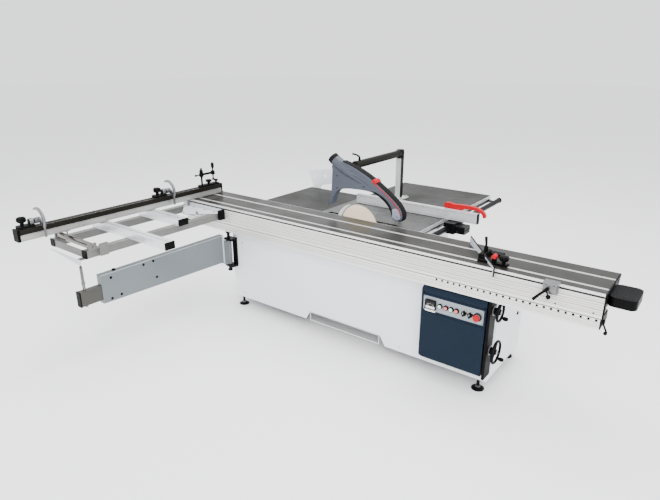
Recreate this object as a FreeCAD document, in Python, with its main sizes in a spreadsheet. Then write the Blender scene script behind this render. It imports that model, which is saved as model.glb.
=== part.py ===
import FreeCAD, Part
import math
import os
import Sketcher
from FreeCAD import Rotation, Vector

# Panel saw with a long sliding table, a crosscut outrigger, a tilting saw unit with a scoring
# blade, an overhead guard and a rip fence. Millimetres, +Z up. +X runs along the sliding table
# towards the operator's end, +Y from the sliding table towards the rip fence.
# Every place below is counted from the table datum: the corner where the top face, the
# operator's end and the blade-side edge of the sliding table meet.

DIMENSIONS = {
    # table datum in the model's frame
    "datum_x": 1535, "datum_y": 210, "datum_z": 850,
    # sliding table and its beam
    "table_length": 3200, "table_side": 350, "table_edge": 2, "table_height": 134,
    "edge_lip": 7, "cap_thick": 8, "rib_pitch": 8, "rib_depth": 1.6,
    "slot_mouth": 12, "slot_neck": 8, "slot_width": 22, "slot_depth": 16,
    "slot_near": 120, "slot_far": 280,
    "channel_left": 322, "channel_right": 164, "channel_roof": 80,
    "beam_top": 140, "beam_bottom": 198, "beam_right": 186, "beam_start": 12, "beam_end": 3170,
    "crest_left": 274, "crest_right": 212, "crest_top": 96, "beam_wall": 8,
    "guide_r": 6, "guide_z": 115, "ball_r": 11.5, "cage_start": 870, "cage_end": 2370,
    "cage_pitch": 125,
    # cabinet
    "cabinet_left": 2735, "cabinet_right": 575, "cabinet_front": 262, "cabinet_back": 290,
    "cabinet_top": 200, "cabinet_bottom": 770, "sheet": 3, "well_left": 2560,
    "well_right": 1260, "well_back": 560, "well_top": 62,
    "notch_left": 1945, "notch_right": 1335, "notch_top": 698, "notch_slant": 42,
    "foot_pad_r": 40, "foot_stud_r": 10, "foot_pad": 14,
    "dust_r": 60, "dust_length": 80,
    # fixed tables
    "main_left": 2035, "main_right": 1220, "main_back": 600, "main_front": 3,
    "main_thick": 45, "rear_left": 2603, "rear_back": 584, "side_back": 1240,
    "side_thick": 56, "seam": 2, "throat_left": 1975, "throat_right": 1395,
    # saw unit
    "blade_x": 1712, "blade_y": 22, "blade_z": 57.5, "blade_r": 157.5, "kerf": 3.2,
    "arbor_r": 15, "flange_r": 38, "housing_r": 30, "arbor_pulley_r": 40,
    "motor_z": 300, "motor_r": 95, "motor_pulley_r": 55, "pulley_near": 140, "pulley_width": 40,
    "column_y": 235, "column_r": 15, "column_left": 1930, "column_right": 1494,
    "scoring_x": 1492, "scoring_z": 57, "scoring_r": 60, "running": 0.05,
    "trunnion_r": 250, "trunnion_width": 40,
    # swing arm
    "pivot_x": 2748, "pivot_y": 298, "pivot_r": 12, "arm_top": 240, "arm_tip": 1400,
    "arm_bottom": 466, "arm_left": 2802, "arm_right": 2754, "arm_wall": 3,
    # outrigger and crosscut fence
    "frame_tip": 1470, "frame_top": 50, "tube": 50, "near_tube": 2740, "far_tube": 3180,
    "bar_top": 2, "roller_r": 22,
    "fence_front": 3075, "fence_depth": 60, "fence_low": 5, "fence_high": 80,
    "fence_tip": 1700, "fence_heel": 50, "stop_ring_r": 80, "stop_z": 112,
    "stop_y": 1560, "stop_step": 1000, "mitre_x": 3105, "mitre_y": 380,
    # rip fence
    "rail_x": 1160, "rail_z": 45, "rail_r": 20, "rail_end": 1285,
    "rip_face": 365, "rip_thick": 30, "rip_height": 75, "rip_left": 1970, "rip_right": 975,
    # guard
    "post_x": 1785, "post_y": 700, "post_side": 45, "post_top": 328, "overarm_r": 27,
    "overarm_z": 366, "hood_y": 22, "hood_half": 28, "hood_wall": 3,
    "spigot_r": 40, "spigot_length": 36,
    # controls
    "box_left": 1005, "box_right": 560, "box_front": 350, "box_top": 209, "box_bottom": 692,
    "panel_z": 311, "button_r": 11, "wheel_y": 300, "lift_wheel_z": 270, "tilt_wheel_z": 525,
}

doc = FreeCAD.newDocument("panel_saw")
sheet = doc.addObject("Spreadsheet::Sheet", "Dims")


class Size:
    """A dimension that knows its value and the spreadsheet formula that gives it."""

    def __init__(self, value, formula):
        self.value = float(value)
        self.formula = formula

    def _join(self, other, sign, value):
        other_text = other.formula if isinstance(other, Size) else repr(other)
        return Size(value, "(%s %s %s)" % (self.formula, sign, other_text))

    def __add__(self, other):
        return self._join(other, "+", self.value + float(other))

    def __sub__(self, other):
        return self._join(other, "-", self.value - float(other))

    def __mul__(self, other):
        return self._join(other, "*", self.value * float(other))

    def __truediv__(self, other):
        return self._join(other, "/", self.value / float(other))

    def __radd__(self, other):
        return Size(other + self.value, "(%r + %s)" % (other, self.formula))

    def __rsub__(self, other):
        return Size(other - self.value, "(%r - %s)" % (other, self.formula))

    def __rmul__(self, other):
        return self * other

    def __neg__(self):
        return Size(-self.value, "(0 - %s)" % self.formula)

    def __float__(self):
        return self.value


class Dimensions:
    """The driving dimensions by name, as cells of the spreadsheet."""

    def __init__(self, table):
        for row, (alias, value) in enumerate(table.items(), start=1):
            sheet.set("A%d" % row, alias)
            sheet.set("B%d" % row, str(value))
            sheet.setAlias("B%d" % row, alias)
            setattr(self, alias, Size(value, "Dims." + alias))


d = Dimensions(DIMENSIONS)
doc.recompute()

SUB_PARTS = []
AXES = {"X": Vector(1, 0, 0), "Y": Vector(0, 1, 0), "Z": Vector(0, 0, 1)}


def bind(item, prop, size):
    """Set a property from a number, or bind it to the spreadsheet."""
    if isinstance(size, Size):
        item.setExpression(prop, size.formula)
    else:
        item.setExpression(prop, repr(float(size)))


def place(item, x, y, z, rotation=None):
    """Put an object at a place counted from the table datum."""
    if rotation is not None:
        item.Placement.Rotation = rotation
    bind(item, "Placement.Base.x", d.datum_x + x)
    bind(item, "Placement.Base.y", d.datum_y + y)
    bind(item, "Placement.Base.z", d.datum_z + z)
    return item


def box(x_span, y_span, z_span):
    """A box between two planes along each axis."""
    item = doc.addObject("Part::Box", "block")
    for prop, (low, high) in zip(("Length", "Width", "Height"), (x_span, y_span, z_span)):
        bind(item, prop, high - low)
    return place(item, x_span[0], y_span[0], z_span[0])


def towards(direction):
    """The rotation that turns +Z into a direction."""
    return Rotation(Vector(0, 0, 1), AXES[direction] if isinstance(direction, str) else direction)


def rod(radius, length, start, direction="Z"):
    """A round bar from a start point along a direction."""
    item = doc.addObject("Part::Cylinder", "rod")
    bind(item, "Radius", radius)
    bind(item, "Height", length)
    return place(item, *start, rotation=towards(direction))


def taper(low_radius, high_radius, length, start, direction="Z"):
    """A cone from a start point along a direction."""
    item = doc.addObject("Part::Cone", "taper")
    bind(item, "Radius1", low_radius)
    bind(item, "Radius2", high_radius)
    bind(item, "Height", length)
    return place(item, *start, rotation=towards(direction))


def ball(radius, centre):
    """A sphere."""
    item = doc.addObject("Part::Sphere", "ball")
    bind(item, "Radius", radius)
    return place(item, *centre)


def ring(radius, wire_radius, centre, direction="Z"):
    """A torus."""
    item = doc.addObject("Part::Torus", "ring")
    bind(item, "Radius1", radius)
    bind(item, "Radius2", wire_radius)
    return place(item, *centre, rotation=towards(direction))


def cut(base, *tools):
    """Take tools away from a base."""
    item = doc.addObject("Part::Cut", "cut")
    item.Base = base
    item.Tool = tools[0] if len(tools) == 1 else group(*tools)
    return item


def fuse(*pieces):
    """Join pieces into one solid."""
    item = doc.addObject("Part::MultiFuse", "fuse")
    item.Shapes = list(pieces)
    item.Refine = True
    return item


def group(*pieces):
    """Separate solids that share one node."""
    item = doc.addObject("Part::Compound", "group")
    item.Links = list(pieces)
    return item


def tube(radius, bore, length, start, direction="Z"):
    """A round tube."""
    return cut(rod(radius, length, start, direction), rod(bore, length, start, direction))


def rounded(item, radius, axis):
    """Fillet the edges of an object that run along an axis."""
    doc.recompute([item])
    chosen = []
    for index, edge in enumerate(item.Shape.Edges, start=1):
        run = edge.Vertexes[-1].Point - edge.Vertexes[0].Point
        if run.Length > 1e-6 and abs(run.normalize().dot(AXES[axis])) > 0.999:
            chosen.append((index, radius, radius))
    fillet = doc.addObject("Part::Fillet", "fillet")
    fillet.Base = item
    fillet.Edges = chosen
    return fillet


def prism(plane, outlines, span):
    """A PartDesign body: closed outlines in a datum plane, padded between two distances.

    The first outline is the outside and any more are hollows. Each is a list of points, or a
    circle as (across, up, radius). Plane YZ pads along X, XY along Z and XZ along Y.
    """
    body = doc.addObject("PartDesign::Body", "body")
    sketch = body.newObject("Sketcher::SketchObject", "outline")
    origin_plane = [f for f in body.Origin.OriginFeatures if f.Role == plane + "_Plane"][0]
    sketch.AttachmentSupport = (origin_plane, [""])
    sketch.MapMode = "FlatFace"

    def fix(index, vertex, across, up):
        for kind, size in (("DistanceX", across), ("DistanceY", up)):
            added = sketch.addConstraint(Sketcher.Constraint(kind, -1, 1, index, vertex, float(size)))
            bind(sketch, "Constraints[%d]" % added, size)

    for outline in outlines:
        if isinstance(outline, tuple):
            across, up, radius = outline
            circle = Part.Circle(Vector(float(across), float(up), 0), Vector(0, 0, 1), float(radius))
            index = sketch.addGeometry(circle, False)
            fix(index, 3, across, up)
            added = sketch.addConstraint(Sketcher.Constraint("Radius", index, float(radius)))
            bind(sketch, "Constraints[%d]" % added, radius)
            continue
        corners = [Vector(float(across), float(up), 0) for across, up in outline]
        first = sketch.GeometryCount
        count = len(corners)
        for i in range(count):
            sketch.addGeometry(Part.LineSegment(corners[i], corners[(i + 1) % count]), False)
        for i in range(count):
            sketch.addConstraint(
                Sketcher.Constraint("Coincident", first + i, 2, first + (i + 1) % count, 1))
        for i, (across, up) in enumerate(outline):
            fix(first + i, 1, across, up)
    pad = body.newObject("PartDesign::Pad", "pad")
    pad.Profile = sketch
    low, high = span
    bind(pad, "Length", high - low)
    if plane == "YZ":
        return place(body, low, 0, 0)
    if plane == "XY":
        return place(body, 0, 0, low)
    return place(body, 0, high, 0)


def turned(outline, centre, direction="Z"):
    """A PartDesign revolution: a closed outline of (radius, height) points about an axis."""
    body = doc.addObject("PartDesign::Body", "body")
    sketch = body.newObject("Sketcher::SketchObject", "outline")
    origin_plane = [f for f in body.Origin.OriginFeatures if f.Role == "XZ_Plane"][0]
    sketch.AttachmentSupport = (origin_plane, [""])
    sketch.MapMode = "FlatFace"
    corners = [Vector(float(radius), float(up), 0) for radius, up in outline]
    count = len(corners)
    for i in range(count):
        sketch.addGeometry(Part.LineSegment(corners[i], corners[(i + 1) % count]), False)
    for i in range(count):
        sketch.addConstraint(Sketcher.Constraint("Coincident", i, 2, (i + 1) % count, 1))
    for i, point in enumerate(outline):
        for kind, size in zip(("DistanceX", "DistanceY"), point):
            added = sketch.addConstraint(Sketcher.Constraint(kind, -1, 1, i, 1, float(size)))
            bind(sketch, "Constraints[%d]" % added, size)
    revolution = body.newObject("PartDesign::Revolution", "turn")
    revolution.Profile = sketch
    revolution.ReferenceAxis = (sketch, ["V_Axis"])
    revolution.Angle = 360
    return place(body, *centre, rotation=towards(direction))


def shaped(shape):
    """A Part::Feature for a shape made with Part's own functions in datum coordinates."""
    item = doc.addObject("Part::Feature", "shape")
    item.Shape = shape
    return place(item, 0, 0, 0)


def sub_part(label, item):
    """Name a finished sub-part."""
    item.Label = label
    SUB_PARTS.append(item)


def point(x, y, z):
    return Vector(float(x), float(y), float(z))


# ---------------------------------------------------------------- cabinet and fixed frame

def cabinet():
    """Sheet-steel base: a long low box under the beam and a higher well under the tables."""
    low_box = box((-d.cabinet_left, -d.cabinet_right), (-d.cabinet_front, d.cabinet_back),
                  (-d.cabinet_bottom, -d.cabinet_top))
    well = box((-d.well_left, -d.well_right), (-5, d.well_back), (-d.cabinet_bottom, -d.well_top))
    low_hollow = box((-d.cabinet_left + d.sheet, -d.cabinet_right - d.sheet),
                     (-d.cabinet_front + d.sheet, d.cabinet_back - d.sheet),
                     (-d.cabinet_bottom - 1, -d.cabinet_top - d.sheet))
    well_hollow = box((-d.well_left + d.sheet, -d.well_right - d.sheet),
                      (-6, d.well_back - d.sheet), (-d.cabinet_bottom - 1, -d.well_top + 1))
    unit_gap = box((-2040, -1360), (-248, 0), (-d.cabinet_top - 10, -d.cabinet_top + 1))
    fork_notch = prism("XZ", [[(-d.notch_left - d.notch_slant, -d.cabinet_bottom - 1),
                               (-d.notch_left, -d.notch_top), (-d.notch_right, -d.notch_top),
                               (-d.notch_right + d.notch_slant, -d.cabinet_bottom - 1)]],
                       (-d.cabinet_front - 1, d.well_back + 1))
    dust_hole = rod(d.dust_r - 3, 20, (-d.well_left - 10, 420, -560), "X")
    louvres = [box((x, x + 160), (d.well_back - 10, d.well_back + 1), (z, z + 8))
               for x in (-2400, -1620) for z in range(-420, -280, 28)]
    shell = cut(fuse(low_box, well), low_hollow, well_hollow, unit_gap, fork_notch, dust_hole,
                *louvres)
    plate = 110
    corner_plates = []
    for x, y in foot_places():
        corner_plates.append(box((x - plate / 2, x + plate / 2), (y - plate / 4, y + plate / 4),
                                 (-d.cabinet_bottom, -d.cabinet_bottom + 6)))
    port_x = -d.well_left
    spigot = tube(d.dust_r, d.dust_r - 3, d.dust_length + 1, (port_x - d.dust_length, 420, -560), "X")
    flange = cut(box((port_x - 4, port_x), (340, 500), (-640, -480)),
                 rod(d.dust_r, 10, (port_x - 6, 420, -560), "X"))
    sub_part("cabinet", fuse(shell, *corner_plates, spigot, flange))


def foot_places():
    """Centres of the six levelling feet."""
    return [(-2677, -231.5), (-633, -231.5), (-2677, 259), (-633, 259), (-2502, 529), (-1318, 529)]


def leveling_feet():
    feet = []
    for x, y in foot_places():
        pad = turned([(0, 0), (d.foot_pad_r, 0), (d.foot_pad_r, 6), (d.foot_pad_r - 14, d.foot_pad),
                      (0, d.foot_pad)], (x, y, -d.datum_z))
        stud = rod(d.foot_stud_r, d.datum_z - d.cabinet_bottom - d.foot_pad,
                   (x, y, -d.datum_z + d.foot_pad))
        nut = rod(16, 12, (x, y, -d.cabinet_bottom - 12))
        feet.append(fuse(pad, stud, nut))
    sub_part("leveling_feet", group(*feet))


def base_beam():
    """Hollow beam with a raised crest that the sliding table runs on."""
    w = d.beam_wall
    outline = [(-d.table_side, -d.beam_bottom), (-d.table_side, -d.beam_top),
               (-d.crest_left, -d.beam_top), (-d.crest_left, -d.crest_top),
               (-d.crest_right, -d.crest_top), (-d.crest_right, -d.beam_top),
               (-d.beam_right, -d.beam_top), (-d.beam_right, -d.beam_bottom)]
    hollow = [(-d.table_side + w, -d.beam_bottom + w), (-d.table_side + w, -d.beam_top - w),
              (-d.beam_right - w, -d.beam_top - w), (-d.beam_right - w, -d.beam_bottom + w)]
    crest_hollow = [(-d.crest_left + w, -d.beam_top + 2), (-d.crest_left + w, -d.crest_top - w),
                    (-d.crest_right - w, -d.crest_top - w), (-d.crest_right - w, -d.beam_top + 2)]
    sub_part("base_beam", prism("YZ", [outline, hollow, crest_hollow],
                                (-d.beam_end, -d.beam_start)))


def guide_rods(label, places, start, end):
    rods = [rod(d.guide_r, start - end, (-start, y, -d.guide_z), "X") for y in places]
    sub_part(label, group(*rods))


def ball_cage():
    """Two strips that carry the balls between the rods, one each side of the crest."""
    pieces = []
    count = 12
    for centre in (-d.crest_left - d.guide_r * 2 - d.ball_r - 0.4,
                   -d.crest_right + d.guide_r * 2 + d.ball_r + 0.4):
        places = [(-d.cage_end + d.cage_pitch / 2 + d.cage_pitch * i, centre, -d.guide_z)
                  for i in range(count)]
        strip = box((-d.cage_end, -d.cage_start), (centre - 1.5, centre + 1.5),
                    (-d.guide_z - 16, -d.guide_z + 16))
        holes = [rod(d.ball_r + 0.3, 10, (x, centre - 5, z), "Y") for x, _, z in places]
        pieces.append(cut(strip, *holes))
        pieces.extend(ball(d.ball_r, spot) for spot in places)
    sub_part("ball_cage", group(*pieces))


# ---------------------------------------------------------------- sliding table

def table_outline():
    """Section of the sliding table: ribbed side, two T-slots, underside channel, bevelled edge."""
    side, bottom = -d.table_side, -d.table_height
    points = [(side, bottom)]
    low = -124
    for i in range(12):
        z = low + d.rib_pitch * i
        points += [(side, z), (side + d.rib_depth, z + 2), (side + d.rib_depth, z + 5), (side, z + 7)]
    points += [(side, -24), (side + 9, -24), (side + 9, -15), (side, -15), (side, 0)]
    for centre in (-d.slot_far, -d.slot_near):
        mouth, width = d.slot_mouth / 2, d.slot_width / 2
        points += [(centre - mouth, 0), (centre - mouth, -d.slot_neck),
                   (centre - width, -d.slot_neck), (centre - width, -d.slot_depth),
                   (centre + width, -d.slot_depth), (centre + width, -d.slot_neck),
                   (centre + mouth, -d.slot_neck), (centre + mouth, 0)]
    edge = -d.table_edge
    bevel_foot = edge - (d.table_height - d.edge_lip)
    points += [(edge, 0), (edge, -d.edge_lip), (bevel_foot, bottom),
               (-d.channel_right, bottom), (-d.channel_right, -d.channel_roof),
               (-d.channel_left, -d.channel_roof), (-d.channel_left, bottom)]
    return points


def sliding_table():
    hollows = [
        [(-340, -124), (-340, -32), (-d.channel_left - 6, -32), (-d.channel_left - 6, -124)],
        [(-262, -72), (-262, -8), (-150, -8), (-150, -72)],
        [(-102, -24), (-102, -8), (-36, -8), (-52, -24)],
        [(-156, -122), (-156, -92), (-112, -92), (-142, -122)],
    ]
    sub_part("table_profile", prism("YZ", [table_outline()] + hollows,
                                    (-d.table_length + d.cap_thick, -d.cap_thick)))


def table_end_caps():
    """Plastic caps of the sliding table and the push handle with its finger recess."""
    edge = -d.table_edge
    outline = [(-d.table_side, -d.table_height), (-d.table_side, 0), (edge, 0),
               (edge, -d.edge_lip), (edge - (d.table_height - d.edge_lip), -d.table_height),
               (-d.channel_right, -d.table_height), (-d.channel_right, -d.channel_roof),
               (-d.channel_left, -d.channel_roof), (-d.channel_left, -d.table_height)]
    caps = [prism("YZ", [outline], span)
            for span in ((-d.cap_thick, 0), (-d.table_length, -d.table_length + d.cap_thick))]
    block = rounded(box((0, 130), (-318, -118), (-70, -18)), 34, "Z")
    recess = box((28, 92), (-284, -152), (-71, -42))
    sub_part("table_end_caps", group(*caps, cut(block, recess)))


def table_lock_lever():
    """Small lever under the near end of the beam that locks the sliding table."""
    boss = rod(14, 16, (-d.beam_start + 0.4, -300, -169), "X")
    arm = rod(5, 52, (-d.beam_start + 8, -300, -176), Vector(0.45, 0, -0.9))
    knob = ball(10, (14, -300, -228))
    sub_part("table_lock_lever", fuse(boss, arm, knob))


def edge_clamp():
    """Bracket in the side slot that carries the side clamp's lever."""
    plate = box((-300, -224), (-392, -330), (0.3, 5))
    back = box((-300, -224), (-372, -350.3), (-58, 0.3))
    angle = box((-236, -228), (-392, -372), (-50, 0.3))
    sub_part("edge_clamp", fuse(plate, back, angle))


def edge_clamp_lever():
    hub = rod(9, 24, (-276, -372.4, -34), Vector(0, -1, 0))
    arm = rod(5, 66, (-276, -388, -34), Vector(-0.66, 0, -0.75))
    grip = taper(5, 8, 26, (-319, -388, -83), Vector(-0.66, 0, -0.75))
    stub = rod(4, 34, (-276, -388, -34), Vector(0.35, 0, -0.94))
    knob = ball(12, (-262, -388, -70))
    sub_part("edge_clamp_lever", fuse(hub, arm, grip, stub, knob))


def edging_plate():
    """Slanting plate that catches a board's edge, its base in the T-slots and three clamps."""
    far, near, thick = (-843, -40), (-566, -368), 5
    run = Vector(near[0] - far[0], near[1] - far[1], 0)
    length = run.Length
    edge = length * (350.0 - 40) / (368 - 40)
    outline = [(0, 1), (edge + 7, 1), (edge + 7, -42), (length, -42), (length, 15), (0, 52)]
    along = run.normalize()
    points = [Vector(far[0], far[1], v) + along * u for u, v in outline]
    face = Part.Face(Part.makePolygon(points + points[:1]))
    fin = face.extrude(Vector(-along.y, along.x, 0) * thick)
    base = box((-692, -520), (-292, -258), (0.5, 12))
    upright = box((-700, -664), (-258, -150), (0.5, 34))
    foot = box((-700, -600), (-150, -100), (0.5, 12))
    keys = [box((-676, -636), (y - 5.7, y + 5.7), (-13, 0.5)) for y in (-280, -120)]
    base_solid = fuse(base, upright, foot, *keys)
    solid = fuse(shaped(fin), base_solid)
    round_knob = turned([(0, 0), (9, 0), (9, 14), (22, 18), (24, 30), (18, 40), (0, 42)],
                        (-545, -276, 12))
    lever = fuse(rod(12, 26, (-684, -190, 34)), rod(6, 64, (-684, -190, 52), Vector(-0.3, 0.55, 0.75)))
    cam = fuse(rod(14, 20, (-600, -276, 12)), box((-606, -594), (-290, -262), (32, 52)))
    sub_part("edging_plate", group(solid, round_knob, lever, cam))


# ---------------------------------------------------------------- fixed tables

def main_table():
    """Cast-iron table with the blade gap, a rebate for the throat plate and a relieved pocket."""
    left, right = -d.main_left, -d.main_right
    outline = [(left, d.main_front), (-d.throat_left, d.main_front), (-d.throat_left, 34),
               (-d.throat_right, 34), (-d.throat_right, d.main_front), (right, d.main_front),
               (right, d.main_back), (left, d.main_back)]
    slab = prism("XY", [outline], (-d.main_thick, 0))
    rebate = box((-d.throat_left, -d.throat_right), (33, 80), (-8, 1))
    pocket = box((-1845, -1580), (33, 215), (-d.main_thick - 1, -14))
    scoring_pocket = box((-1582, -1410), (33, 140), (-d.main_thick - 1, -14))
    ribs = [box((left + 6, right - 6), (y, y + 12), (-60, -d.main_thick)) for y in (300, 430, 580)]
    ribs += [box((x, x + 12), (300, 592), (-60, -d.main_thick)) for x in (-2020, -1640, -1240)]
    sub_part("main_table", fuse(cut(slab, rebate, pocket, scoring_pocket), *ribs))


def throat_plate():
    plate = box((-d.throat_left + 0.5, -d.throat_right - 0.5), (34, 79.5), (-8, 0))
    screws = [rod(5, 4, (x, 66, -3)) for x in (-1940, -1685, -1430)]
    sub_part("throat_plate", cut(plate, *screws))


def sheet_table(label, left, right, front, back, thick, spacers):
    """Folded steel table: a top plate with a skirt all round and spacers at its seam."""
    outer = box((left, right), (front, back), (-thick, 0))
    inner = box((left + 3, right - 3), (front + 3, back - 3), (-thick - 1, -4))
    stiffener = box((left + 3, right - 3), ((front + back) / 2, (front + back) / 2 + 3), (-thick, -4))
    sub_part(label, fuse(cut(outer, inner), stiffener, *spacers))


def fence_rail():
    """Round rail for the rip fence, its stand-off bolts, scale strip and end cap."""
    bar = rod(d.rail_r, d.rail_end + 10, (-d.rail_x, -10, -d.rail_z), "Y")
    cap = rod(d.rail_r + 2, 10, (-d.rail_x, d.rail_end, -d.rail_z), "Y")
    bolts = [rod(8, d.main_right - d.rail_x - d.rail_r + 1, (-d.main_right, y, -d.rail_z), "X")
             for y in (40, 470, 900, 1225)]
    scale = box((-d.main_right + 0.2, -d.main_right + 6), (4, d.side_back), (-24, -3))
    holes = [rod(8.2, 12, (-d.main_right - 2, y, -d.rail_z), "X") for y in (40, 470, 900, 1225)]
    sub_part("fence_rail", group(fuse(bar, *bolts), cap, cut(scale, *holes)))


def hose_bracket():
    """Sheet bracket with two holes on the back edge of the rear table."""
    outline = [(-2637, 141), (-2383, 189), (-2383, 58), (-2490, 30), (-2520, -50), (-2560, -50),
               (-2586, 15)]
    plate = prism("XZ", [outline, (-2570, 100, 13), (-2450, 118, 13)],
                  (d.rear_back + 0.2, d.rear_back + 4.2))
    knob = turned([(0, 0), (6, 0), (6, 8), (19, 12), (19, 26), (0, 30)],
                  (-2498, d.rear_back + 4.2, 62), "Y")
    sub_part("hose_bracket", group(plate, knob))


# ---------------------------------------------------------------- saw unit

def sector(inner, outer, low_angle, high_angle, x_start, thick):
    """A flat ring sector about the tilt axis, angles counted from +Y towards +Z."""
    centre = point(x_start, d.blade_y, 0)
    normal = Vector(1, 0, 0)

    def on(radius, angle):
        return centre + Vector(0, radius * math.cos(angle), radius * math.sin(angle))

    low, high = math.radians(low_angle), math.radians(high_angle)
    middle = (low + high) / 2
    edges = [Part.Arc(on(outer, low), on(outer, middle), on(outer, high)).toShape(),
             Part.LineSegment(on(outer, high), on(inner, high)).toShape(),
             Part.Arc(on(inner, high), on(inner, middle), on(inner, low)).toShape(),
             Part.LineSegment(on(inner, low), on(outer, low)).toShape()]
    return Part.Face(Part.Wire(edges)).extrude(normal * thick)


def trunnions():
    """Fixed trunnion arcs, held by arms from the back wall of the cabinet."""
    inner = float(d.trunnion_r)
    outer = inner + float(d.trunnion_width)
    pieces = []
    for x in (-2012, -1402):
        arc = shaped(sector(inner, outer, -130, -18, x, 14))
        arm = box((x, x + 14), (290, d.well_back - d.sheet), (-130, -70))
        pieces.append(fuse(arc, arm))
    sub_part("trunnions", group(*pieces))


def tilt_frame():
    """Tilting frame: two end plates with arc shoes, tied by a bar, with two guide columns."""
    outer = float(d.trunnion_r) - 0.3
    pieces = []
    for plate_x, shoe_x in ((-1990, -2012), (-1422, -1410)):
        pieces.append(prism("YZ", [[(190, -66), (255, -66), (255, -420), (130, -420), (110, -200)]],
                            (plate_x, plate_x + 12)))
        pieces.append(shaped(sector(outer - 46, outer, -78, -26, shoe_x, 22)))
    pieces.append(box((-1990, -1410), (215, 255), (-84, -66)))
    for low, high in ((-1990, -1904), (-1496, -1410)):
        pieces.append(box((low, high), (215, 255), (-420, -400)))
    for x in (-1940, -1460):
        pieces.append(rod(d.column_r, 316, (x, d.column_y, -400)))
    sub_part("tilt_frame", fuse(*pieces))


def saw_carriage():
    """Lifting carriage: guide sleeves, motor plate and the arbor housing."""
    plate = box((-1940, -1460), (224, 246), (-200, -120))
    sleeves = [rod(27, 90, (x, d.column_y, -205)) for x in (-1940, -1460)]
    motor_plate = box((-1812, -1612), (190, 202), (-400, -112))
    ties = [box((x, x + 24), (202, 224), (-200, -120)) for x in (-1812, -1636)]
    front = box((-1812, -1612), (106, 120), (-180, -42))
    arms = [box((x, x + 24), (120, 190), (-180, -112)) for x in (-1812, -1636)]
    housing = rod(d.housing_r, 94, (-d.blade_x, 36, -d.blade_z), "Y")
    scoring_arm = box((-1640, -1470), (70, 106), (-78, -46))
    scoring_housing = rod(20, 66, (-d.scoring_x, 40, -d.scoring_z - 4), "Y")
    knife_clamp = box((-1925, -1862), (d.blade_y + 1.3, 60), (-150, -110))
    knife_arm = box((-1925, -1800), (60, 119), (-150, -126))
    solid = fuse(plate, *sleeves, motor_plate, *ties, front, *arms, housing, scoring_arm,
                 scoring_housing, knife_clamp, knife_arm)
    bores = [rod(d.column_r + d.running, 120, (x, d.column_y, -220)) for x in (-1940, -1460)]
    bores.append(rod(d.arbor_r + d.running, 110, (-d.blade_x, 30, -d.blade_z), "Y"))
    bores.append(rod(10 + d.running, 90, (-d.scoring_x, 30, -d.scoring_z - 4), "Y"))
    bores.append(rod(26, 30, (-d.blade_x, 180, -d.motor_z), "Y"))
    sub_part("saw_carriage", cut(solid, *bores))


def toothed_disc(x, y, z, radius, bore, thick, teeth, depth):
    """A saw blade in the XZ plane, centred on y."""
    points = []
    for i in range(teeth):
        for r, share in ((radius, 0.0), (radius - depth, 0.14), (radius - depth, 0.45),
                         (radius - 1.2, 0.86)):
            angle = -2 * math.pi * (i + share) / teeth
            points.append(point(x, y, z) + Vector(r * math.cos(angle), -thick / 2, r * math.sin(angle)))
    disc = Part.Face(Part.makePolygon(points + points[:1])).extrude(Vector(0, thick, 0))
    hole = Part.makeCylinder(bore, thick + 2, point(x, y - thick / 2 - 1, z), Vector(0, 1, 0))
    return disc.cut(hole)


def saw_blade():
    disc = toothed_disc(float(-d.blade_x), float(d.blade_y), float(-d.blade_z), float(d.blade_r),
                        float(d.arbor_r) + 0.03, float(d.kerf), 60, 7.0)
    sub_part("saw_blade", shaped(disc))


def arbor():
    """Main shaft with both flanges, the clamping screw and its pulley."""
    x, z = -d.blade_x, -d.blade_z
    near = d.blade_y - d.kerf / 2
    far = d.blade_y + d.kerf / 2
    shaft = rod(d.arbor_r, d.pulley_near + d.pulley_width - near + 4, (x, near, z), "Y")
    back_flange = rod(d.flange_r, 8, (x, far, z), "Y")
    pulley = turned([(0, 0), (d.arbor_pulley_r, 0), (d.arbor_pulley_r, 5),
                     (d.arbor_pulley_r - 6, 10), (d.arbor_pulley_r - 6, 30),
                     (d.arbor_pulley_r, 35), (d.arbor_pulley_r, d.pulley_width),
                     (0, d.pulley_width)], (x, d.pulley_near, z), "Y")
    front_flange = rod(d.flange_r, 5.5, (x, near - 5.5, z), "Y")
    screw = rod(13, 2.5, (x, near - 8, z), "Y")
    sub_part("arbor", group(fuse(shaft, back_flange, pulley), fuse(front_flange, screw)))


def riving_knife():
    """Crescent behind the blade, carried by the lifting carriage."""
    x, z = float(-d.blade_x), float(-d.blade_z)
    inner, outer = float(d.blade_r) + 5, float(d.blade_r) + 38
    y = float(d.blade_y) - 1.3

    def on(radius, degrees):
        angle = math.radians(degrees)
        return Vector(x + radius * math.cos(angle), y, z + radius * math.sin(angle))

    edges = [Part.Arc(on(inner, 118), on(inner, 158), on(inner, 199)).toShape(),
             Part.LineSegment(on(inner, 199), on(outer, 199)).toShape(),
             Part.Arc(on(outer, 199), on(outer - 4, 165), on(inner + 8, 124)).toShape(),
             Part.LineSegment(on(inner + 8, 124), on(inner, 118)).toShape()]
    knife = Part.Face(Part.Wire(edges)).extrude(Vector(0, 2.6, 0))
    stem = Part.makeBox(46, 2.6, 48, Vector(x - 205, y, z - 92))
    screws = [rod(7, 8.5, (place_x, d.blade_y - 9.8, -130), "Y") for place_x in (-1906, -1884)]
    sub_part("riving_knife", group(shaped(knife.fuse(stem).removeSplitter()), *screws))


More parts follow.
